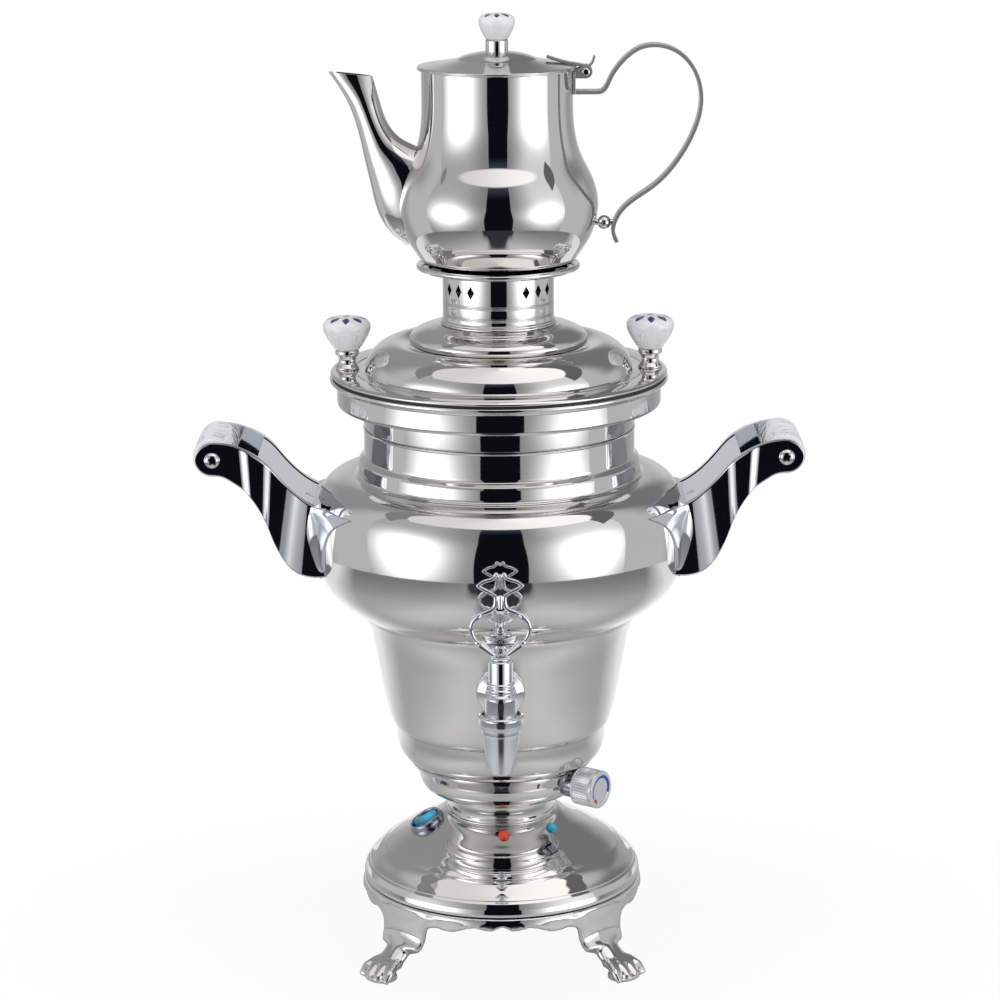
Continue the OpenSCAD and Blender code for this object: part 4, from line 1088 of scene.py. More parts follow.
@dataclass
class Tank:
    """Tapered vase, belly with shoulder, throat and rim band."""

    finishes: Finishes
    vase: Span = spanned("vase_shell")
    belly: Span = spanned("belly_shell")
    rim: Span = spanned("rim_band")
    band_r: float = 65.8
    throat_r: float = 84.0
    rim_r: float = 100.2
    belly_rise: float = 51.5
    rim_h: float = 19.0
    sheet_t: float = 1.0

    def vase_outline(self) -> Path:
        """Outline of the tapered vase."""
        start, end = (self.band_r, self.vase.low), (self.vase.radius, self.vase.high)
        return [(self.band_r - 3, self.vase.low), *eased(
            [(self.band_r - 1.5, self.vase.low),
             *flow(placed(start, end, [(0.01, 0.002), (0.11, 0.035), (0.19, 0.086), (0.272, 0.17), (0.41, 0.355),
                                       (0.525, 0.53), (0.635, 0.7), (0.705, 0.805), (0.79, 0.885), (0.885, 0.94),
                                       (0.99, 0.985)]))], 0.6),
            (self.vase.radius, self.vase.high)]

    def belly_outline(self) -> Path:
        """Outline of the belly, the shoulder and the throat."""
        wide = self.belly.radius
        middle = self.belly.low + self.belly_rise
        lower = placed((self.vase.radius, self.belly.low), (wide, middle),
                       [(0.02, 0.012), (0.2, 0.085), (0.378, 0.16), (0.632, 0.285), (0.811, 0.42), (0.928, 0.585),
                        (0.985, 0.79), (1, 1)])
        upper = placed((wide, middle), (self.throat_r, self.belly.high),
                       [(0.026, 0.21), (0.11, 0.375), (0.21, 0.455), (0.34, 0.507), (0.52, 0.538), (0.7, 0.548),
                        (0.81, 0.549)])
        cove = flow([*lower, *upper], 5)
        ledge = middle + (self.belly.high - middle) * 0.70
        ring = shifted(self.throat_r, ledge, [(4.3, -9.3), (3.7, -8), (3.5, -1.5), (2.9, 0), (1.4, 1.3), (0.3, 2.4),
                                              (0, 4)])
        end = shifted(self.throat_r, self.belly.high, [(0, -1.2), (0.5, -0.5), (-0.3, 0)])
        return eased([(self.vase.radius, self.belly.low), *cove, *ring, *end], 0.5)

    def rim_outline(self) -> Path:
        """Outline of the throat, the rim band and its rolled lip."""
        high, r = self.rim.high, self.rim_r
        under = high - self.rim_h
        return eased([*shifted(self.throat_r, self.rim.low, [(-0.8, 0), (-0.1, 0.7), (0, 1.4)]),
                      *shifted(self.throat_r, under, [(0, -2.2), (1.6, -0.4), (3.6, 0)]),
                      *shifted(r, under, [(-2.2, 0), (-0.5, 0.7), (0, 2.4)]),
                      *shifted(r, high, [(0, -6.2), (0.7, -5.0), (2.6, -4.4)]),
                      *shifted(self.rim.radius, high, [(-0.3, -3.9), (0, -3.1), (-0.2, -1.9), (-1.0, -1.5)]),
                      (r - 3, high - 1.5)], 0.5)

    def build(self) -> None:
        """Turns the tank's shells."""
        for name, outline, node in (("vase", self.vase_outline(), "vase_shell"),
                                    ("belly", self.belly_outline(), "belly_shell"),
                                    ("rim", self.rim_outline(), "rim_band")):
            settle(lathe(name, outline, 224, wall=self.sheet_t), self.finishes.steel, Body.ROOT, node)


# ------------------------------------------------------------------ lid and steam stand


@dataclass
class Lid:
    """Lift-off lid with its crown, ferrules and porcelain knobs."""

    finishes: Finishes
    shell: Span = spanned("lid_shell")
    crown: Span = spanned("lid_crown")
    knob: Span = spanned("lid_knob_right")
    knob_x: float = field(default_factory=lambda: centre("lid_knob_right").x)
    knob_r: float = 14.7
    knob_middle: float = 13.0
    dome_r: float = 82.5
    steam_r: float = 30.0
    edge_h: float = 2.4
    ferrule_r: float = 7.4
    ferrule_h: float = 12.4
    bulge: float = 9.5
    dish: float = 11.0
    sheet_t: float = 1.0

    def shell_outline(self, seat: float) -> Path:
        """Outline of the lid from its edge to the seat of the crown.

        Args:
            seat: Height of the seat.

        Returns:
            The outline.
        """
        edge = seat - self.dish
        flat = edge + self.edge_h
        rim = [*shifted(self.shell.radius, edge, [(-0.4, 0.1), (0, 0.5), (0, 1.3)]), (self.shell.radius - 1.4, flat),
               *shifted(self.dome_r, flat, [(7.4, 0), (6.8, -0.5), (6.2, 0), (1.6, 0), (0.9, 0.3)])]
        rise = flow(placed((self.dome_r, flat), (self.steam_r + 9, seat + self.bulge),
                           [(-0.01, 0.03), (0.0, 0.16), (0.045, 0.42), (0.13, 0.68), (0.26, 0.9), (0.41, 0.99),
                            (0.54, 0.95), (0.68, 0.79), (0.82, 0.58), (0.93, 0.49)]), 6)
        return eased([*rim, *rise, (self.steam_r + 9.2, seat), (self.steam_r + 4, seat)], 0.5)

    def crown_outline(self) -> Path:
        """Outline of the crown between lid and collar."""
        low, high, r = self.crown.low, self.crown.high, self.crown.radius
        under = placed((self.steam_r + 9, low), (r, high),
                       [(0, 0.03), (0.02, 0.12), (0.14, 0.2), (0.5, 0.27), (0.84, 0.33), (0.96, 0.4)])
        over = flow(placed((self.steam_r + 9, low), (r, high),
                           [(0.985, 0.45), (1.0, 0.53), (0.95, 0.65), (0.8, 0.76), (0.55, 0.86), (0.25, 0.935),
                            (0.0, 0.975), (-0.1, 1)]))
        return eased([(self.steam_r + 5, low), *under, *over, (self.steam_r, high)], 0.5)

    def ferrule(self, low: float, place: Matrix) -> Piece:
        """Turns a ferrule that widens at both ends."""
        r, h = self.ferrule_r, self.ferrule_h
        outline = [(2, low), (r, low), (r, low + 1),
                   *flow(shifted(r, low, [(-0.4, 1.6), (-2.0, 4.4), (-1.5, 7.4), (-0.6, 8.8)])),
                   (r - 0.1, low + 9.2), (r, low + 9.8), (r, low + h - 1.2), (r - 0.5, low + h), (2, low + h)]
        return lathe("ferrule", eased(outline, 0.4), 64, place)

    def build(self) -> None:
        """Builds and dresses the lid."""
        steel = self.finishes.steel
        seat = self.crown.low
        settle(lathe("lid", self.shell_outline(seat), 224, wall=self.sheet_t), steel, Body.LID, "lid_shell")
        settle(lathe("crown", self.crown_outline(), 192, wall=self.sheet_t), steel, Body.LID, "lid_crown")
        # Painted shadow: a near black ring under the lid's edge stands in for the shade in the gap between lid and rim.
        shade = shifted(self.shell.radius, seat - self.dish,
                        [(-4, -1.6), (-0.8, -1.6), (-0.8, 0.35), (-4, 0.35), (-4, -1.6)])
        settle(lathe("lid_shadow", shade, 160), self.finishes.gap, Body.LID)
        ferrules = [self.ferrule(self.knob.low - self.ferrule_h, Matrix.Translation((x, 0, 0)))
                    for x in (-self.knob_x, self.knob_x)]
        settle(joined("lid_ferrule_pair", ferrules), steel, Body.LID, "lid_ferrules")
        for side, node in ((Side.LEFT, "lid_knob_left"), (Side.RIGHT, "lid_knob_right")):
            place = Vector((side.value * self.knob_x, 0, self.knob.low))
            piece = porcelain_knob(f"porcelain_{side.name.lower()}", place, self.knob_r,
                                   self.knob.high - self.knob.low, self.ferrule_r * 1.08)
            glaze = Porcelain(f"glaze_{side.name.lower()}", place + Z_AXIS * self.knob_middle, self.knob_r).make()
            settle(piece, Finish(glaze, "porcelain"), Body.LID, node)


def porcelain_knob(name: str, foot: Vector, radius: float, height: float, neck: float,
                   lobes: int = 10, flute: float = 0.035) -> Piece:
    """Turns a knob and presses shallow flutes into its side.

    Args:
        name: Name of the piece.
        foot: Middle of its underside.
        radius: Largest radius.
        height: Height.
        neck: Radius of its underside.
        lobes: Number of lobes round it.
        flute: Depth of the flutes between them, as a share of the radius.

    Returns:
        The knob.
    """
    outline = [(0, 0), (neck * 0.94, 0), *flow(placed((neck, 0), (radius, height),
                                                      [(0.02, 0.03), (0.12, 0.08), (0.36, 0.19), (0.66, 0.36),
                                                       (0.91, 0.53), (1.0, 0.67), (0.96, 0.77), (0.74, 0.87),
                                                       (0.2, 0.95), (-0.5, 0.99), (-neck / (radius - neck), 1.0)]), 3)]
    piece = lathe(name, outline, lobes * 8, Matrix.Translation(foot), smooth_angle=70)
    with kneaded(piece) as shape:
        for vertex in shape.verts:
            offset = vertex.co - foot * MM
            share = offset.z / (height * MM)
            depth = flute * math.sin(math.pi * min(max((share - 0.08) / 0.8, 0), 1))
            wave = abs(math.cos(math.atan2(offset.y, offset.x) * lobes / 2))
            vertex.co.x -= offset.x * depth * (1 - wave)
            vertex.co.y -= offset.y * depth * (1 - wave)
    smooth(70)
    return piece


@dataclass
class SteamStand:
    """Perforated collar and teapot tray."""

    finishes: Finishes
    collar: Span = spanned("steam_collar")
    tray: Span = spanned("teapot_tray")
    crown_top: float = field(default_factory=lambda: span("lid_crown").high)
    radius: float = 34.2
    steam_r: float = 29.4
    collar_t: float = 1.0
    tray_t: float = 0.9
    spigot: float = 5.8
    diamond: Point = (5.2, 8.4)
    ring_shares: Point = (0.21, 0.44)
    diamond_share: float = 0.73
    diamond_step: float = 15.5

    def build(self) -> None:
        """Builds and dresses the stand."""
        base, top, r = self.crown_top, self.collar.high, self.radius
        height = top - base
        outline = [(self.steam_r, base - self.spigot), (self.steam_r, base + 0.05),
                   *shifted(r, base, [(1.3, 0.05), (1.8, 0.5), (1.8, 1.3), (1.0, 1.9), (0.9, 2.6), (0.2, 3.2), (0, 4)])]
        for share in self.ring_shares:
            outline += shifted(r, base + height * share, [(0, -1.0), (-0.5, -0.5), (0.25, 0), (-0.5, 0.5), (0, 1.0)])
        collar = lathe("collar", eased([*outline, (r, top)], 0.35), 192, wall=self.collar_t)
        self.pierce(collar, base + height * self.diamond_share)
        settle(collar, self.finishes.steel, Body.STAND, "steam_collar")
        low, reach = self.tray.low, self.tray.radius
        tray = [(self.steam_r + 2, low + 0.02), (40, low + 0.02),
                *flow([(42, low + 0.3), (45, low + 0.9), (47.4, low + 2.0)]),
                *arc((reach - 1.75, low + 3.6), 1.7, range(-110, 140, 25)), (reach - 4.2, low + 3.4)]
        settle(lathe("tray", eased(tray, 0.3), 192, wall=self.tray_t), self.finishes.steel, Body.STAND, "teapot_tray")

    def pierce(self, piece: Piece, height: float) -> None:
        """Cuts four groups of three diamond holes at a height."""
        wide, tall = self.diamond
        corners = [(-wide / 2, 0), (0, -tall / 2), (wide / 2, 0), (0, tall / 2)]
        tools = []
        for group in CORNERS:
            for k in (-1, 0, 1):
                turn = Matrix.Rotation(math.radians(group + k * self.diamond_step), 4, "Z")
                outline = [turn @ Vector((self.radius - 6, y, height + z)) for y, z in corners]
                tools.append(plate("hole", outline, turn @ Vector((12, 0, 0))))
        carve(piece, joined("holes", tools))
        smooth(35)


# ------------------------------------------------------------------ teapot


@dataclass
class Teapot:
    """Teapot with spout, strap handle, hinged lid and porcelain knob."""

    finishes: Finishes
    pot: Span = spanned("teapot_body")
    cover: Span = spanned("teapot_lid")
    knob: Span = spanned("teapot_knob")
    sheet_t: float = 0.8
    base_r: float = 37.0
    mouth_r: float = 46.0
    brim: float = 2.5
    knob_r: float = 11.1
    ferrule_r: float = 6.9
    ferrule_h: float = 7.0
    knob_middle: float = 10.0
    spout_reach: float = 102.0
    spout_t: float = 0.9
    strap_reach: float = 124.5
    strap_w: float = 11.0
    strap_t: float = 2.3
    strap_edge: float = 0.35
    ball_r: float = 4.3
    ball_share: float = 0.235
    hinge_out: float = 7.6
    hinge_drop: float = 1.2

    def body_outline(self) -> Path:
        """Outline of the pear shaped pot from its base to its mouth."""
        low, high, wide = self.pot.low, self.pot.high, self.pot.radius
        lower = placed((self.base_r, low), (wide, high),
                       [(0.03, 0.0005), (0.2, 0.011), (0.39, 0.045), (0.53, 0.085), (0.683, 0.13), (0.807, 0.172),
                        (0.9, 0.218), (0.98, 0.285), (1, 0.33)])
        upper = placed((wide, low), (self.mouth_r, high),
                       [(0.085, 0.41), (0.327, 0.49), (0.654, 0.57), (0.856, 0.648), (0.955, 0.72), (0.995, 0.79),
                        (1, 0.9), (1, 1)])
        return [(0.5, low), (self.base_r - 3, low), *flow([(self.base_r, low), *lower[1:], *upper], 6)]

    def pot_radius(self, height: float) -> float:
        """Radius of the pot at a height."""
        return across(self.body_outline()[2:], height, 1)

    def spout(self) -> Piece:
        """Lofts the tapering spout with its open, slanting mouth."""
        root = self.pot.radius - 7
        start, end = (root, self.pot.low), (self.spout_reach, self.pot.high)
        outer = flow(placed(start, end, [(1, 0.995), (0.78, 0.86), (0.636, 0.705), (0.55, 0.55), (0.48, 0.427),
                                         (0.4, 0.3), (0.25, 0.197), (0.02, 0.123)]), 4)
        inner = flow(placed(start, end, [(0.44, 0.972), (0.36, 0.86), (0.24, 0.73), (0.08, 0.66), (-0.12, 0.62),
                                         (-0.3, 0.56), (-0.36, 0.45), (-0.4, 0.34)]), 4)
        widths = flow([(0, 4.5), (1, 8), (2, 9.5), (3, 11.5), (4, 14), (5, 16), (6, 16.5), (7, 15)], 4)
        shells = []
        for inset in (0.0, self.spout_t):
            rings = []
            for (xo, zo), (xi, zi), (_, wide) in zip(outer, inner, widths):
                middle = Vector((-(xo + xi) / 2, 0, (zo + zi) / 2))
                arm = Vector((-(xo - xi) / 2, 0, (zo - zi) / 2))
                size = arm.length - inset
                rings.append([middle + arm.normalized() * size * math.cos(a) + Y_AXIS * (wide - inset) * math.sin(a)
                              for a in (math.tau * k / 32 for k in range(32))])
            if inset:
                rings.insert(0, [2 * a - b for a, b in zip(rings[0], rings[1])])
            shells.append(loft("spout", rings))
        carve(shells[0], shells[1])
        wall = [(0, self.pot.low - 1), *[(r - 0.5, z) for r, z in self.body_outline()[1:]], (0, self.pot.high)]
        carve(shells[0], lathe("pot_solid", wall, 96))
        smooth(40)
        shells[0].name = "pot_spout"
        return shells[0]

    def strap_path(self) -> Path:
        """Middle line of the handle strap."""
        start = (self.mouth_r, self.pot.low)
        end = (self.strap_reach - self.strap_t / 2, self.pot.high)
        return flow(placed(start, end, [(0.021, 0.888), (0.16, 0.888), (0.225, 0.893), (0.285, 0.95), (0.39, 1.045),
                                        (0.52, 1.105), (0.66, 1.117), (0.8, 1.09), (0.92, 1.02), (0.985, 0.93),
                                        (1, 0.83), (0.95, 0.7), (0.82, 0.55), (0.63, 0.42), (0.47, 0.35),
                                        (0.37, 0.29), (0.325, 0.235), (0.315, 0.19), (0.345, 0.138)]), 5)

    def strap_rings(self) -> list[list[Vector]]:
        """Sections of the flat strap with its broken edges."""
        path = stood(self.strap_path())
        thick, edge = self.strap_t / 2, self.strap_edge
        rings = []
        for i, point in enumerate(path):
            ahead = (path[min(i + 1, len(path) - 1)] - path[max(i - 1, 0)]).normalized()
            out = ahead.cross(Y_AXIS)
            wide = self.strap_w / 2 * (1 - 0.12 * i / (len(path) - 1))
            corners = [(thick, wide - edge), (thick - edge, wide), (edge - thick, wide), (-thick, wide - edge)]
            corners += [(-a, -b) for a, b in corners]
            rings.append([point + out * a + Y_AXIS * b for a, b in corners])
        return rings

    def build(self) -> None:
        """Builds and dresses the teapot."""
        pot = lathe("pot", self.body_outline(), 208, wall=self.sheet_t)
        settle(pot, self.finishes.steel, Body.TEAPOT, "teapot_body")
        settle(self.spout(), self.finishes.steel, Body.TEAPOT, "teapot_spout")
        settle(loft("strap_handle", self.strap_rings(), 35), self.finishes.ground, Body.TEAPOT, "teapot_handle")
        self.ball_joint()
        self.cover_and_knob()
        self.hinge()

    def ball_joint(self) -> None:
        """Adds the ball between the pot and the low end of the strap."""
        height = self.pot.low + (self.pot.high - self.pot.low) * self.ball_share
        wall = self.pot_radius(height)
        middle = centre("handle_ball").x
        reach = 2 * (middle - wall) + 0.6
        post = lathe("post", [(0, 0), (1.8, 0), (1.8, reach), (0, reach)], 24, standing(0, wall - 0.3, height))
        piece = joined("strap_ball", [ball("ball", Vector((middle, 0, height)), self.ball_r, 40), post])
        settle(piece, self.finishes.steel, Body.TEAPOT, "handle_ball")

    def cover_and_knob(self) -> None:
        """Turns the teapot's lid, its ferrule and its knob."""
        steel = self.finishes.steel
        brim_r = self.mouth_r + self.brim
        low, top = self.pot.high + 0.3, self.cover.high
        edge = shifted(brim_r, low, [(-0.5, 0.02), (0, 0.3), (0, 0.8), (-0.5, 1.0), (-0.5, 1.3), (-0.1, 1.6),
                                     (-0.4, 2.1)])
        cone = flow(placed((brim_r, low + 2), (0, top), [(0.03, 0.03), (0.2, 0.17), (0.36, 0.32), (0.495, 0.455)]), 4)
        rise = flow(placed((brim_r, low + 2), (0, top), [(0.505, 0.49), (0.54, 0.585), (0.64, 0.77), (0.8, 0.93),
                                                         (0.9, 0.985), (0.985, 1.0)]), 5)
        settle(lathe("pot_cover", eased([*edge, *cone, *rise], 0.4), 176, wall=self.sheet_t), steel, Body.COVER,
               "teapot_lid")
        foot, r = self.knob.low - self.ferrule_h, self.ferrule_r
        ferrule = [(0, foot - 0.8), (r, foot - 0.8), (r, foot + 6.2), (r - 0.5, foot + 6.9), (0, foot + 7)]
        settle(lathe("pot_ferrule", eased(ferrule, 0.4), 64), steel, Body.COVER, "teapot_ferrule")
        place = Vector((0, 0, self.knob.low))
        knob = porcelain_knob("porcelain_top", place, self.knob_r, self.knob.high - self.knob.low, 7.0)
        glaze = Porcelain("glaze_top", place + Z_AXIS * self.knob_middle, self.knob_r).make()
        settle(knob, Finish(glaze, "porcelain"), Body.COVER, "teapot_knob")

    def hinge(self) -> None:
        """Builds the hinge bracket, its rivet and the leaf with its thumb tab."""
        x, z = self.mouth_r + self.hinge_out, self.pot.high - self.hinge_drop
        low = self.pot.low + (self.pot.high - self.pot.low) * 0.888 - 1.1
        back = [Vector((self.mouth_r - 0.3, y, h)) for y, h in ((-7, low), (7, low), (7, z + 0.5), (-7, z + 0.5))]
        parts = [plate("back", back, Vector((1.7, 0, 0)), 0.5)]
        cheek = [(self.mouth_r + 0.2, z - 4), *arc((x, z), 4, range(-90, 91, 15)), (self.mouth_r + 0.2, z + 0.6)]
        for side in (-1, 1):
            parts.append(plate("cheek", stood(cheek, side * 5.4), Vector((0, -side * 1.2, 0)), 0.25))
        settle(joined("hinge_box", parts), self.finishes.ground, Body.TEAPOT, "hinge_bracket")
        pin = lathe("hinge_rivet", eased([(0, -6.6), (1.6, -6.6), (2.4, -6.1), (2.4, -5.5), (1.6, -5.4), (1.6, 5.4),
                                          (2.4, 5.5), (2.4, 6.1), (1.6, 6.6), (0, 6.6)], 0.3), 32, standing(-90, 0, 0))
        moved(pin, Matrix.Translation((x, 0, z)))
        settle(pin, self.finishes.steel, Body.TEAPOT, "hinge_pin")
        self.leaf(x, z)

    def leaf(self, x: float, z: float) -> None:
        """Adds the hinge leaf on the lid."""
        brim_r = self.mouth_r + self.brim
        path = [(x, z + 2.8), *flow([(x - 1.5, z + 3.4), (x - 5, z + 4.1), (brim_r - 7, z + 5.4),
                                     (brim_r * 0.62, z + 9.0)], 3)]
        tongue = rod("leaf", stood(path), lambda t: (0.9, 3.8 - 0.6 * t), power=0.4, smooth_angle=35)
        tab = flow([(x + 0.4, z + 2.6), (x + 3, z + 4), (x + 5.2, z + 9.2)], 4)
        thumb = rod("thumb", stood(tab), lambda t: (0.7, 3.8), power=0.4, smooth_angle=35)
        barrel = lathe("barrel", [(1.8, -3.8), (2.9, -3.8), (2.9, 3.8), (1.8, 3.8), (1.8, -3.8)], 32,
                       standing(-90, 0, 0))
        moved(barrel, Matrix.Translation((x, 0, z)))
        settle(joined("cover_leaf", [tongue, thumb, barrel]), self.finishes.ground, Body.COVER, "hinge_leaf")


# ------------------------------------------------------------------ side handles


@dataclass
class SideHandles:
    """Cast handles with porcelain grips."""

    finishes: Finishes
    tank: Tank
    grip: Vector = field(default_factory=lambda: centre("grip_right"))
    grip_r: float = 12.25
    grip_len: float = 54.0
    arm_t: float = 6.0
    arm_end_r: float = 10.4
    web_t: float = 4.0
    screw_r: float = 4.8
    recess: Point = (0.55, 2.5)
    recess_turn: float = 0.5
    stud_aim: Vector = field(default_factory=lambda: Vector((0.15, -0.6, 0.75)))

    @property
    def front(self) -> float:
        """Distance of the arms' outer faces from the middle plane."""
        return self.grip_len / 2 + 0.35 + self.arm_t

    def edges(self) -> tuple[Path, Path]:
        """Upper and lower edge of an arm, from the tank to the grip."""
        wide = self.tank.belly.radius
        start = (wide, self.tank.belly.low + self.tank.belly_rise)
        end = (self.grip.x, self.grip.z)
        top = flow(placed(start, end, [(-0.2, 0.37), (0.0, 0.45), (0.174, 0.588), (0.339, 0.788), (0.471, 0.962),
                                       (0.636, 1.09), (0.82, 1.175), (0.98, 1.2)]), 6)
        low = flow(placed(start, end, [(-0.2, -0.43), (0.083, -0.423), (0.207, -0.352), (0.311, -0.212),
                                       (0.402, 0), (0.478, 0.25), (0.587, 0.492), (0.686, 0.627), (0.8, 0.72),
                                       (0.9, 0.785), (0.98, 0.8)]), 6)
        return evenly(top, 40), evenly(low, 40)

    def arm(self, side: float) -> Piece:
        """Lofts one arm; its outer face swells towards the tank.

        Args:
            side: -1 for the arm on the tap's side, 1 for the other.

        Returns:
            The arm.
        """
        top, low = self.edges()
        pairs = list(zip(top, low))
        for degrees in range(12, 85, 12):
            a = math.radians(degrees)
            x = self.grip.x + self.arm_end_r * math.sin(a)
            drop = self.arm_end_r * math.cos(a)
            pairs.append(((x, self.grip.z + drop), (x, self.grip.z - drop)))
        rings = []
        rim, inner = 0.9, self.front - self.arm_t
        waves = flow([(0, 0.1), (0.14, 0.2), (0.19, 0.0), (0.28, -1.5), (0.37, -2.6), (0.42, -2.8), (0.48, -2.6),
                      (0.57, -1.3), (0.66, -0.2), (0.73, 0.3), (0.78, -0.6), (0.83, -1.5), (0.88, -1.6), (1, -1.6),
                      (1.3, -1.6)], 5)
        for i, ((xt, zt), (xl, zl)) in enumerate(pairs):
            out = self.front + across(waves, i / 39)
            up = (Vector((xt, 0, zt)) - Vector((xl, 0, zl))).normalized()
            high, deep = Vector((xt, 0, zt)), Vector((xl, 0, zl))
            half = [(inner, 0), (out - rim, 0), (out - rim * 0.3, rim * 0.3), (out, rim), (out, rim + 0.35)]
            rings.append([high + Y_AXIS * side * y - up * inset for y, inset in half]
                         + [deep + Y_AXIS * side * y + up * inset for y, inset in reversed(half)])
        return loft("arm", rings, 38)

    def web(self) -> Piece:
        """Lofts the sheet between the arms under their upper edges."""
        top, _ = self.edges()
        wide = self.tank.belly.radius
        upper = [q for q in top if q[0] < wide + (self.grip.x - wide) * 0.56]
        rings = []
        for i, (x, z) in enumerate(upper):
            ahead = upper[min(i + 1, len(upper) - 1)]
            behind = upper[max(i - 1, 0)]
            down = Vector((ahead[1] - behind[1], 0, behind[0] - ahead[0])).normalized()
            half = Y_AXIS * (self.front - self.arm_t + 0.5)
            point = Vector((x, 0, z)) + down * 0.5
            under = point + down * self.web_t
            rings.append([point - half, point + half, under + half, under - half])
        return loft("web", rings, 38)

    def pad(self) -> Piece:
        """Lofts the root flange, which flares from the arms' outer faces to the belly."""
        outline = self.tank.belly_outline()
        middle = self.tank.belly.low + self.tank.belly_rise
        faces = flow([(-23, 110.6), (-18.8, 113.4), (-13, 115.6), (-4.9, 118.3), (3.3, 119.5), (13.8, 118.4),
                      (22.7, 115.9)], 4)
        angles = flow([(-23, 15), (-18, 17.5), (-6.4, 19.9), (2.3, 22.5), (9.1, 25.2), (17.1, 31), (22.7, 37.4)], 4)
        half = self.front + 0.06
        rings = []
        for k in range(26):
            rise = -23 + 45.7 * k / 25
            wall = across(outline[4:], middle + rise, 1)
            angle, face = across(angles, rise), across(faces, rise)
            a = math.radians(angle)
            foot = Vector(((wall + 1.1) * math.cos(a), max((wall + 1.1) * math.sin(a), half + 0.1)))
            turn_x = min(foot.x + (foot.y - half) * math.tan(a), face - 0.6)
            side = [foot * (1 - u) ** 2 + Vector((turn_x, half)) * 2 * u * (1 - u) + Vector((face, half)) * u * u
                    for u in (step / 8 for step in range(9))]
            inner = [Vector(((wall + 0.05) * math.cos(a * t / 7), (wall + 0.05) * math.sin(a * t / 7)))
                     for t in range(7, -8, -1)]
            ring = [Vector((q.x, -q.y)) for q in side] + list(reversed(side)) + inner
            rings.append([Vector((q.x, q.y, middle + rise)) for q in ring])
        return loft("pad", rings, 50)

    def studs(self) -> list[Piece]:
        """Makes the two faceted studs on the flange's top and on the web."""
        aim = self.stud_aim.to_track_quat("Z", "Y").to_matrix().to_4x4()
        return [lathe("stud", [(0, -2.5), (radius, -2.5), (radius, 0), (0, height)], 4,
                      Matrix.Translation(place) @ aim, smooth_angle=15)
                for place, radius, height in (((108.5, -34.5, 291.6), 6.2, 6.0), ((119.5, -8, 292.6), 4.4, 4.6))]

    def screw(self, side: float) -> Piece:
        """Makes a pan head screw with a cross recess at the end of an arm."""
        place = standing(90 * side, 0, 0)
        top = flow([(4.7, 1.1), (3.6, 2.2), (1.8, 2.7), (0.01, 2.8)], 3)
        head = lathe("screw", eased([(0, -1), (self.screw_r, -1), (self.screw_r, 0.7), *top], 0.2), 48, place)
        half, arm = self.recess
        cross = [(-arm, -half), (-half, -half), (-half, -arm), (half, -arm), (half, -half), (arm, -half)]
        cross += [(-u, -v) for u, v in cross]
        outline = [place @ (Matrix.Rotation(self.recess_turn, 4, "Z") @ Vector((u, v, 1.2))) for u, v in cross]
        carve(head, plate("cross", outline, (place.to_3x3() @ Vector((0, 0, 4)))))
        moved(head, Matrix.Translation((self.grip.x, side * (self.front - 1.2), self.grip.z)))
        smooth(35)
        return head

    def porcelain(self) -> Piece:
        """Turns the porcelain grip with its ring grooves."""
        r, half = self.grip_r, self.grip_len / 2
        side = [(3.1, -half), (r * 0.8, -half), (r * 0.95, -half + 0.8), (r, -half + 2.4), (r, -half + 5.2),
                (r * 0.955, -half + 6.2), (r, -half + 7.2), (r * 1.01, -half + 14), (r * 1.02, -9), (r * 1.02, -8.4),
                (r * 0.93, -7.6), (r * 0.93, -7), (r * 1.02, -6.2), (r * 1.025, 0)]
        outline = [*side, *[(a, -b) for a, b in reversed(side[:-1])]]
        place = Matrix.Translation((self.grip.x, 0, self.grip.z)) @ Matrix.Rotation(-math.pi / 2, 4, "X")
        return lathe("grip_porcelain_right", eased([*outline, (3.1, -half)], 0.5), 96, place, smooth_angle=50)

    def build(self) -> None:
        """Builds the right handle and its mirrored twin."""
        casting = joined("handle_casting_right", [self.arm(-1), self.arm(1), self.web(), self.pad(), *self.studs()])
        other = twin(casting, "handle_casting_left")
        settle(casting, self.finishes.chrome, Body.ROOT, "handle_right")
        settle(other, self.finishes.chrome, Body.ROOT, "handle_left")
        grip = self.porcelain()
        other = twin(grip, "grip_porcelain_left")
        for piece, side, x in ((grip, "right", self.grip.x), (other, "left", -self.grip.x)):
            glaze = GripGlaze(f"glaze_grip_{side}", Vector((x, 0, self.grip.z)), self.grip_r).make()
            settle(piece, Finish(glaze, "porcelain"), Body.ROOT, f"grip_{side}")
        screws = [self.screw(-1), self.screw(1)]
        screws += [twin(piece, "screw") for piece in screws]
        settle(joined("grip_screws", screws), self.finishes.steel, Body.ROOT, "handle_screws")


# ------------------------------------------------------------------ tap


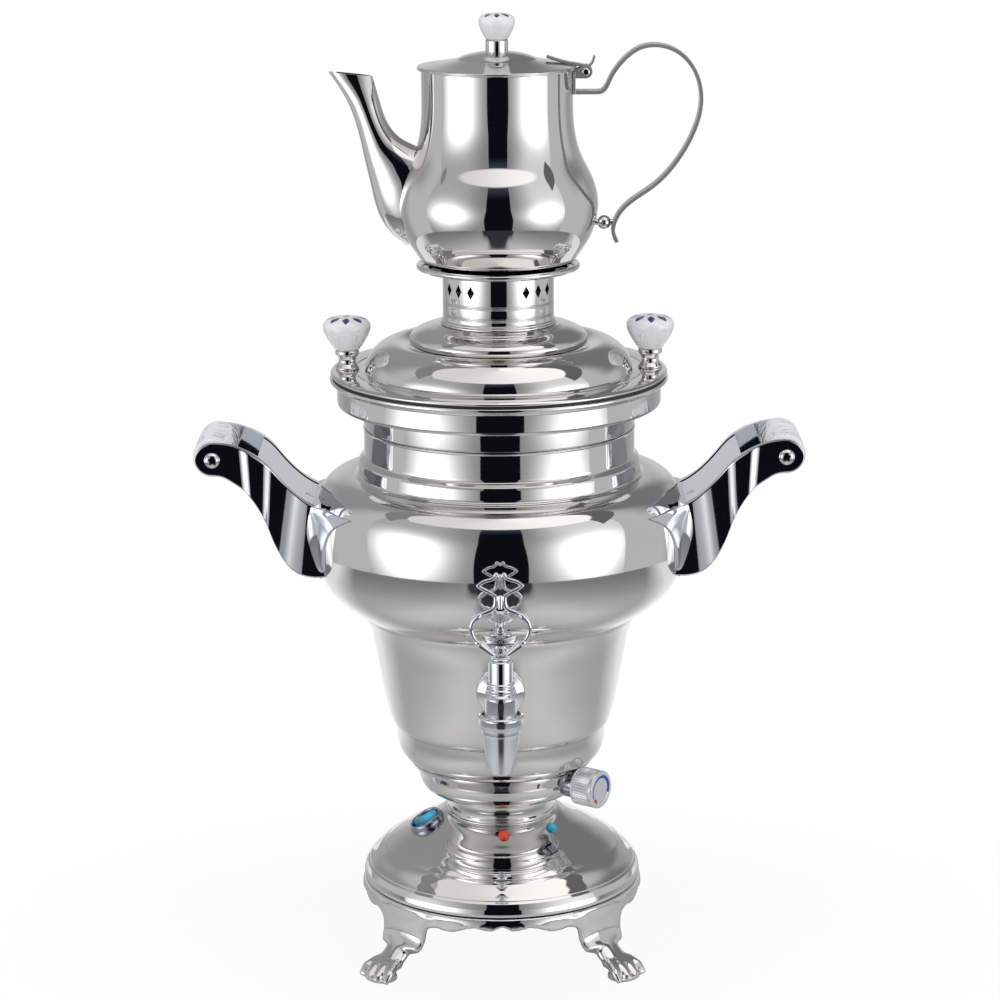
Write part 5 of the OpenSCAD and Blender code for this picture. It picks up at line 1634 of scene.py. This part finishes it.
@dataclass
class Tap:
    """Tap with flange, valve body, nozzle and turning key."""

    finishes: Finishes
    tank: Tank
    axis: Vector = field(default_factory=lambda: centre("tap_plug"))
    shank_z: float = 187.0
    nozzle: Span = spanned("tap_nozzle")
    body: Span = spanned("tap_body")
    valve_r: float = 9.6
    barrel_r: float = 7.5
    nozzle_r: float = 13.6
    nozzle_t: float = 0.5
    end_r: float = 6.4
    shank_r: float = 6.0
    flange_r: float = 15.0

    def build(self) -> None:
        """Builds and dresses the tap."""
        chrome = self.finishes.chrome
        upright = Matrix.Translation((0, self.axis.y, 0))
        settle(self.valve(upright), chrome, Body.ROOT, "tap_body")
        low, high = self.nozzle.low, self.nozzle.high
        e, n = self.end_r, self.nozzle_r
        outline = eased([*shifted(e, low, [(-2.2, 6), (-1.8, 0.2), (-1.2, 0), (-0.4, 0.1), (0, 0.9)]),
                         *flow(shifted(e, low, [(0.3, 2), (2.3, 9), (4.1, 18.5), (5.1, 25.2)])),
                         *flow([(e + 5.4, low + 26), (n - 1.6, low + 28.6), (n - 0.3, low + 31)]), (n, low + 31.6),
                         *shifted(n, high, [(0, -1.6), (-0.5, -0.5), (-1.6, 0)]), (self.valve_r, high)], 0.4)
        settle(lathe("nozzle", outline, 96, upright, wall=self.nozzle_t), chrome, Body.ROOT, "tap_nozzle")
        settle(self.flange(), chrome, Body.ROOT, "tap_flange")
        key = self.key_piece()
        moved(key, upright)
        settle(key, chrome, Body.VALVE, "tap_key")

    @property
    def vase_wall(self) -> float:
        """Radius of the vase where the tap goes through it."""
        return across(self.tank.vase_outline()[3:], self.shank_z, 1)

    def valve(self, upright: Matrix) -> Piece:
        """Turns the valve body and its shank."""
        v, b = self.valve_r, self.barrel_r
        low = self.nozzle.high - 1
        top = self.body.high
        outline = eased([(0, low - 3), (v, low - 3), (v, low + 11.4), (v - 0.8, low + 13),
                         *shifted(b, low, [(0.4, 14.2), (0.3, 14.8), (1.0, 15.6), (1.0, 16.8), (0.1, 17.6), (0.1, 18.4),
                                           (0.8, 19.2), (0.8, 20.2), (0, 21)]),
                         (b, top - 0.9), (b - 0.7, top), (5.45, top), (0, top - 0.2)], 0.45)
        body = lathe("valve", outline, 96, upright)
        wall, r = self.vase_wall, self.shank_r
        reach = -self.axis.y - wall - 1
        shank = lathe("shank", [(0, 0), (r, 0), (r, reach), (0, reach)], 48, standing(-90, wall - 1, self.shank_z))
        return joined("tap_valve_body", [body, shank])

    def flange(self) -> Piece:
        """Turns the round flange against the vase and trims it to the wall."""
        cone = flow([(13.6, 4.8), (11, 6), (9.4, 7.2), (8.7, 9.5), (8.6, 12.6)])
        r, bore = self.flange_r, self.shank_r - 0.1
        outline = eased([(bore, -6), (r, -6), (r, 3.2), (r - 0.6, 4.2), *cone, (bore, 13)], 0.5)
        piece = lathe("flange", [*outline, (bore, -6)], 80, standing(-90, self.vase_wall, self.shank_z))
        solid = [(0, self.tank.vase.low), *self.tank.vase_outline(), (0, self.tank.vase.high)]
        carve(piece, lathe("vase_solid", solid, 160))
        smooth(40)
        return piece

    def key_piece(self) -> Piece:
        """Lofts the key: hub, conical arms with knuckles, loop, twin stem, curls and crowned eyelet."""
        parts = [lathe("hub", eased([(0, -0.2), (6.3, -0.2), (6.3, 0.9), (4.6, 1.9), (0, 2.2)], 0.4), 40),
                 lathe("stem", [(0, 30.5), (1.5, 30.5), (1.3, 38.6), (0, 39)], 24)]
        for side in (1, -1):
            arm = [(2.4, 0.8), (7.6, 5.2), (12.5, 9.2)]
            loop = flow([(13.4, 9.8), (15.5, 12.6), (16.9, 16.5), (17.0, 20), (15.5, 23.4), (12.6, 26.3)], 4)
            strand = flow([(12.2, 26.5), (10, 27.7), (7.4, 28.8), (4.9, 30), (3.2, 32), (2.6, 34.8), (2.5, 38.4)], 4)
            below = flow([(2.5, 38.2), (5.1, 39.9), (8.4, 41.8), (11.3, 43.4), (12.7, 44.6)], 3)
            above = flow([(12.7, 44.6), (11.2, 46.1), (7.7, 47.7), (4.6, 48.7), (3.2, 49.9), (2.3, 51.4)], 3)
            bars = [(flow(arm, 3), lambda t: (1.3 + 1.9 * t, 1.3 + 1.6 * t)),
                    (loop, lambda t: (1.35 + 0.9 * t ** 2.5, 1.35 + 0.8 * t ** 2.5)),
                    (strand, lambda t: (1.35 + 0.1 * t, 1.3)),
                    (below, lambda t: (1.15, 1.15)), (above, lambda t: (1.15, 1.15))]
            for bar_path, sizes in bars:
                parts.append(rod("bar", [Vector((side * x, 0, z)) for x, z in bar_path], sizes, 12))
            for (x, z), size in (((13.3, 9.8), 2.1), ((12.3, 26.5), 1.85), ((9.9, 27.8), 1.5), ((12.8, 44.6), 1.3),
                                 ((7.9, 47.6), 1.25), ((2.3, 51.4), 1.4), ((4.8, 39.7), 1.25)):
                parts.append(ball("knuckle", Vector((side * x, 0, z)), size, 16))
        parts.append(ball("crown", Vector((0, 0, 50.2)), 1.5, 16))
        piece = joined("tap_key_loop", parts)
        shape_with(piece, "REMESH", mode="VOXEL", voxel_size=0.3 * MM)
        shape_with(piece, "SMOOTH", factor=0.5, iterations=2)
        moved(piece, Matrix.Translation((0, 0, self.body.high + 0.3)))
        bpy.ops.object.shade_smooth()
        return piece


# ------------------------------------------------------------------ controls


@dataclass
class Controls:
    """Thermostat knob, rocker switch and pilot lamps."""

    finishes: Finishes
    base: Base
    dial_angle: float = -35.4
    dial_back: float = 60.0
    dial_z: float = 112.0
    dial_r: float = 12.0
    dial_d: float = 16.5
    ridges: int = 48
    ridge_depth: float = 0.03
    switch_angle: float = 192.0
    switch_at: float = 48.0
    bezel_r: float = 11.8
    rocker_half: float = 8.2
    rocker_r: float = 8.3
    rocker_tilt: float = -6.0
    lamp_at: float = 43.5
    lamp_r: float = 3.65

    def on_dome(self, radius: float, angle: float) -> Matrix:
        """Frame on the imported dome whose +Z is square to it.

        Args:
            radius: Distance from the axis.
            angle: Direction in degrees.

        Returns:
            The frame in millimetres.
        """
        outline = self.base.dome_outline()[6:]
        slope = (across(outline, radius - 2) - across(outline, radius + 2)) / 4
        return (Matrix.Rotation(math.radians(angle), 4, "Z")
                @ Matrix.Translation((radius, 0, across(outline, radius)))
                @ Matrix.Rotation(math.atan(slope), 4, "Y"))

    def dial(self) -> None:
        """Turns the knob, cuts its ridges and adds the collar behind it."""
        place = standing(self.dial_angle, self.dial_back, self.dial_z)
        r, d = self.dial_r, self.dial_d
        outline = eased([(0, 1.6), (5.4, 1.6), (5.4, 0),
                         *shifted(r, 0, [(-0.8, 0), (-0.1, 0.7), (-0.1, 1.4), (-0.5, 1.7), (0, 2.1)]),
                         *shifted(r, d, [(0, -3.4), (-0.5, -3.0), (-0.5, -2.4), (-0.05, -2.0), (-0.05, -0.8),
                                         (-0.8, -0.05), (-2.6, 0), (-3.2, -0.5)]), (0, d - 0.5)], 0.25)
        knob = lathe("dial_knob", outline, self.ridges * 4, place, smooth_angle=40)
        back = place.inverted()
        with kneaded(knob) as shape:
            for vertex in shape.verts:
                local = back @ (vertex.co / MM)
                if 2.0 < local.z < d - 3.3 and math.hypot(local.x, local.y) > r - 0.2:
                    turn = math.degrees(math.atan2(local.y, local.x)) * self.ridges / 360
                    cut = 1 - self.ridge_depth * (0.5 + 0.5 * math.cos(math.tau * turn))
                    vertex.co = (place @ Vector((local.x * cut, local.y * cut, local.z))) * MM
        smooth(40)
        face = DialFace("dial_face", place @ Vector((0, 0, d)), place.to_3x3() @ Z_AXIS, r)
        settle(knob, Finish(face.make(), "silver_knob"), Body.DIAL, "thermostat_knob")
        ring = [(5.05, -9), (8.6, -9), (8.6, -0.9), (8.1, -0.4), (5.05, -0.4), (5.05, -9)]
        settle(lathe("dial_collar", eased(ring, 0.3), 64, place), self.finishes.dark_chrome, Body.ROOT,
               "thermostat_collar")

    def switch(self) -> None:
        """Builds the bezel and the blue rocker in it."""
        place = self.on_dome(self.switch_at, self.switch_angle)
        r = self.bezel_r
        round_over = flow([(r - 0.1, 1.7), (r - 0.7, 3.4), (r - 1.5, 4.4)], 4)
        outline = [(8.95, -3), (r - 0.2, -2.4), (r - 0.05, 0.8), *round_over, (r - 2.1, 4.5), (8.98, 3.6), (8.95, -3)]
        bezel = lathe("switch_ring", eased(outline, 0.3), 96, place)
        settle(bezel, self.finishes.dark_chrome, Body.ROOT, "switch_bezel")
        tilted = place @ Matrix.Translation((0, 0, -1)) @ Matrix.Rotation(math.radians(self.rocker_tilt), 4, "Y")
        rings = []
        for k in range(25):
            x = self.rocker_half * (k / 12 - 1)
            half = math.sqrt(max(self.rocker_r ** 2 - x * x, 0.3))
            top = 4.75 + 0.105 * abs(x) - 0.25 * math.cos(math.pi * x / (2 * self.rocker_half))
            top = min(top, math.sqrt(max((self.rocker_r + 0.1) ** 2 - x * x, 4.0)) + 2.2)
            side = [(1, -2.2), (1, top - 1.1), (0.93, top - 0.35), (0.8, top), (0.4, top + 0.12)]
            ring = [*((-y, z) for y, z in side), (0, top + 0.16), *reversed(side)]
            rings.append([Vector((x, y * half, z)) for y, z in ring])
        rocker = loft("rocker_cap", rings, 35)
        moved(rocker, tilted)
        glass = Lens("rocker_glass", (0.0, 0.08, 0.18), (0.0, 0.42, 0.62), tilted @ Vector((-2, 0, 5.0)), 9.5, 0.5)
        settle(rocker, Finish(glass.make(), "blue_lens"), Body.ROCKER, "switch_rocker")

    def lamps(self) -> None:
        """Turns the two pilot lamps."""
        kinds = [("red_lamp", -88.0, (0.42, 0.01, 0.005), (0.85, 0.10, 0.05), "red_lens"),
                 ("blue_lamp", -43.5, (0.005, 0.16, 0.30), (0.05, 0.62, 0.80), "blue_lens")]
        r = self.lamp_r
        outline = eased([(0, -1), (r - 0.2, -1), (r - 0.2, 0), (r, 0.1), (r, 0.9),
                         *flow([(r * 0.97, 1.1), (r * 0.8, 1.9), (r * 0.45, 2.35), (0.01, 2.5)], 3)], 0.15)
        for node, angle, rim, core, slot in kinds:
            place = self.on_dome(self.lamp_at, angle)
            lens = Lens(f"{node}_glass", rim, core, place @ Vector((0, 0, 1.6)), r * 1.1, 0.3)
            settle(lathe(f"{node}_cap", outline, 40, place), Finish(lens.make(), slot), Body.ROOT, node)

    def build(self) -> None:
        """Builds and dresses the controls."""
        self.dial()
        self.switch()
        self.lamps()


# ------------------------------------------------------------------ hidden nodes and studio


def dress_hidden() -> None:
    """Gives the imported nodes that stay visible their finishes."""
    looks = {
        Metal("plain_steel", (0.60, 0.60, 0.61), 0.3, 0.1):
            ["base_plate", "tank_floor", "tie_rod", "tie_nut", "grip_rods", "handle_bolts", "handle_nuts", "lid_screws",
             "heating_element", "thermostat_shaft"],
        Metal("bare_brass", (0.78, 0.60, 0.30), 0.28, 0.1): ["heater_terminals", "tap_nut", "tap_plug"],
        Gloss("black_moulding", (0.02, 0.02, 0.022), 0.4): ["thermostat_body", "cable_gland"],
        Gloss("white_nylon", (0.82, 0.82, 0.80), 0.45): ["lamp_nuts"],
        Gloss("seal_rubber", (0.05, 0.05, 0.05), 0.6): ["tap_seals"],
    }
    for look, names in looks.items():
        material = look.make()
        for name in names:
            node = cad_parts[name]
            node.data.materials.clear()
            node.data.materials.append(material)


@dataclass(frozen=True)
class Tent:
    """Far white room that only reflections and soft light see.

    Attributes:
        radius: Radius of the room in metres.
        eye: Height in metres from which its parts are laid out.
        slit_left: Left edge of the dark slit for the camera, in degrees.
        slit_right: Its right edge.
        slit_top: Height of the top of the slit, in degrees.
        patch_turn: Direction of the two lit patches from the slit, in degrees.
        patch_rise: Height of the middle of the lit patches, in degrees.
        patch_size: Half width and half height of the patches, in degrees.
        patch_glow: Strength of the patches.
        plain: Level of the light on matt surfaces.
    """

    radius: float = 9.0
    eye: float = 0.35
    slit_left: float = -16.0
    slit_right: float = 17.5
    slit_top: float = 41.0
    patch_turn: float = 58.0
    patch_rise: float = -4.0
    patch_size: Point = (23.0, 16.5)
    patch_glow: float = 2.5
    plain: float = 0.96

    def cloth(self) -> bpy.types.Material:
        """Builds the glowing walls."""
        graph = Graph("tent_cloth")
        middle = Z_AXIS * (self.eye / MM)
        x, y, z = (graph.along(middle, axis) for axis in (X_AXIS, -Y_AXIS, Z_AXIS))
        degrees = 180 / math.pi
        turn = x.turn_of(y) * degrees
        wide = abs(turn)
        right = turn > 0
        rise = z.turn_of((x * x + y * y) ** 0.5) * degrees

        def ramp(value: Wire, low: float, high: float) -> Wire:
            """Goes smoothly from 0 at low to 1 at high."""
            return graph.node("ShaderNodeMapRange", {"interpolation_type": "SMOOTHSTEP"},
                              {"Value": value, "From Min": low, "From Max": high})

        def hump(value: Wire, place: float, size: float) -> Wire:
            """Bell curve of height 1."""
            away = (value - place) * (1 / size)
            return math.e ** (away * away * -1)

        front = 0.27 + (0.2 + 0.34 * right) * ramp(rise, -4, 30) * ramp(wide, 12, 50)
        patch = self.patch_glow * hump(wide, self.patch_turn, self.patch_size[0]) \
            * hump(rise, self.patch_rise, self.patch_size[1])
        sides = 0.58 - 0.2 * ramp(wide, 118, 135) + 0.06 * ramp(wide, 140, 152) + 0.2 * ramp(wide, 158, 168)
        upper = ramp(rise, 8, 24) * ramp(wide, 95, 125)
        sides = sides * (1 - upper) + (0.33 - 0.12 * right) * upper
        beside = wide > 88 - 6 * right
        walls = (front + patch) * (1 - beside) + sides * beside
        edge = self.slit_top + 1 + 34 * ((wide - 70) * (1 / 56)).clipped()
        roof = ramp(rise - edge, -1, 1.5)
        ceiling = 0.84 + 0.4 * ramp(turn, -60, 60)
        window = (wide > 80 - 8 * right) * (rise > edge - 17) * (1 - roof)
        cloth = (walls * (1 - roof) + ceiling * roof) * (1 - window) + (0.27 - 0.12 * right) * window
        spread = 1 - 0.17 * ramp(rise, -15, 12)
        slit = (turn > self.slit_left * spread) * (turn < self.slit_right * spread) * (rise < self.slit_top)
        dark = 0.006 + 0.05 * ramp(rise, 25, 42)
        shade = cloth * (1 - slit) + dark * slit
        warm = graph.blend(roof, (0.985, 0.99, 1.0), (1.0, 0.985, 0.965))
        tone = graph.blend(slit, warm, (0.75, 0.85, 1.35))
        mirrored = Wire(graph, graph.tree.nodes.new("ShaderNodeLightPath").outputs["Is Glossy Ray"])
        glow = graph.tinted(tone, shade)
        graph.set(Base_Color=(0, 0, 0, 1), Roughness=1.0, Specular_IOR_Level=0.0,
                  Emission_Color=graph.blend(mirrored, (self.plain,) * 3, glow), Emission_Strength=1.0)
        graph.material.cycles.emission_sampling = "NONE"
        return graph.material

    def build(self) -> None:
        """Adds the room, which the camera looks through."""
        tent = added("light_tent", bpy.ops.mesh.primitive_uv_sphere_add, segments=96, ring_count=48, radius=self.radius)
        bpy.ops.transform.translate(value=(0, 0, self.eye))
        bpy.ops.object.mode_set(mode="OBJECT")
        tent.data.materials.append(self.cloth())
        tent.visible_camera = False


@dataclass
class Studio:
    """White table in a light tent, before white surroundings.

    Attributes:
        table_r: Radius of the table in metres.
        table_colour: Its colour under the object.
        shadow: Share of the table's real shading that the camera sees near the object.
    """

    table_r: float = 0.88
    table_colour: Colour = (0.52, 0.525, 0.52)
    shadow: float = 0.06

    def table(self) -> None:
        """Adds the table, which looks white to the camera and keeps the object's shadow; reflections see painted light
        and painted shade on it.
        """
        table = added("studio_table", bpy.ops.mesh.primitive_circle_add, vertices=96, radius=self.table_r,
                      fill_type="NGON")
        bpy.ops.object.mode_set(mode="OBJECT")
        graph = Graph("table_white")
        x, y = (graph.along(Vector((0, 0, 0)), axis) * MM for axis in (X_AXIS, Y_AXIS))
        away = (x * x + y * y) ** 0.5
        behind = (y * 4 - 0.4).clipped()

        def pool(place: float, depth: float, size: float) -> Wire:
            """Round pool of painted light on either side of the middle."""
            return math.e ** (((abs(x) - place) ** 2.0 + (y + depth) ** 2.0) * -size)

        # Painted light: the table glows in two pools on either side of the object and behind it, and the metal reflects
        # this glow.
        lit = (0.15 * pool(0.19, 0.1, 70) + 0.16 * pool(0.16, 0.27, 60)) * (1 - behind) + 0.46 * behind
        # Painted shade: dark lanes in front of the tap, darker sides and a darker far edge in the table's colour, which
        # the metal reflects as shade.
        lane = (1 - ((abs(x) + y * 0.16) * 20).clipped()) * ((y * -1 - 0.2) * 6).clipped()
        end = (1 - ((abs(x) + y * 0.29) * 20).clipped()) * ((y * -1 - 0.5) * 4).clipped()
        far = 0.42 * ((away - 0.42) * 2.6).clipped() * (1 - behind)
        painted_shade = (lane + end + far + 0.2 * ((abs(x) - 0.2) * 3).clipped()).clipped()
        graph.set(Base_Color=graph.blend(painted_shade, self.table_colour, (0.03, 0.03, 0.035)), Roughness=0.6,
                  Specular_IOR_Level=0.2, Emission_Strength=1.0, Emission_Color=graph.tinted((1.0, 0.99, 0.97), lit))
        tree = graph.tree
        glow, mix, light_path = (tree.nodes.new(f"ShaderNode{kind}") for kind in ("Emission", "MixShader", "LightPath"))
        near = (1.6 - away * 4).clipped()
        seen = Wire(graph, light_path.outputs["Is Camera Ray"]) * (1 - self.shadow * near)
        for i, socket in enumerate((seen.socket, graph.shader.outputs[0], glow.outputs[0])):
            tree.links.new(socket, mix.inputs[i])
        tree.links.new(mix.outputs[0], graph.output.inputs["Surface"])
        table.data.materials.append(graph.material)

    def sky(self) -> None:
        """Makes the surroundings white."""
        world = bpy.data.worlds.new("studio_sky")
        bpy.context.scene.world = world
        world.use_nodes = True
        background = world.node_tree.nodes["Background"]
        background.inputs["Color"].default_value = (1, 1, 1, 1)
        background.inputs["Strength"].default_value = 1.0

    def build(self) -> None:
        """Sets up table, surroundings and tent."""
        self.table()
        self.sky()
        Tent().build()


@dataclass
class Viewpoint:
    """The camera."""

    place: Vector = field(default_factory=lambda: Vector((0, -1.8795, 0.7566)))
    tilt: float = 14.0
    roll: float = -0.35
    lens: float = 111.6
    shift: float = 0.0004

    def build(self) -> None:
        """Adds the camera and makes it the scene's own."""
        data = bpy.data.cameras.new("view")
        data.lens = self.lens
        data.sensor_width = 36.0
        data.shift_x = self.shift
        data.clip_start = 0.05
        camera = bpy.data.objects.new("view", data)
        bpy.context.scene.collection.objects.link(camera)
        turn = Matrix.Rotation(math.radians(90 - self.tilt), 4, "X") @ Matrix.Rotation(math.radians(self.roll), 4, "Z")
        camera.matrix_world = Matrix.Translation(self.place) @ turn
        bpy.context.scene.camera = camera


def main() -> None:
    """Builds the dressed samovar and its studio."""
    logging.basicConfig(level=logging.INFO, format="%(name)s: %(message)s")
    bpy.context.scene.view_settings.view_transform = "Standard"
    Viewpoint().build()
    dress_hidden()
    finishes = Finishes()
    base = Base(finishes)
    base.build()
    tank = Tank(finishes)
    tank.build()
    Lid(finishes).build()
    SteamStand(finishes).build()
    Teapot(finishes).build()
    SideHandles(finishes, tank).build()
    Tap(finishes, tank).build()
    Controls(finishes, base).build()
    Studio().build()


if __name__ == "__main__":
    main()
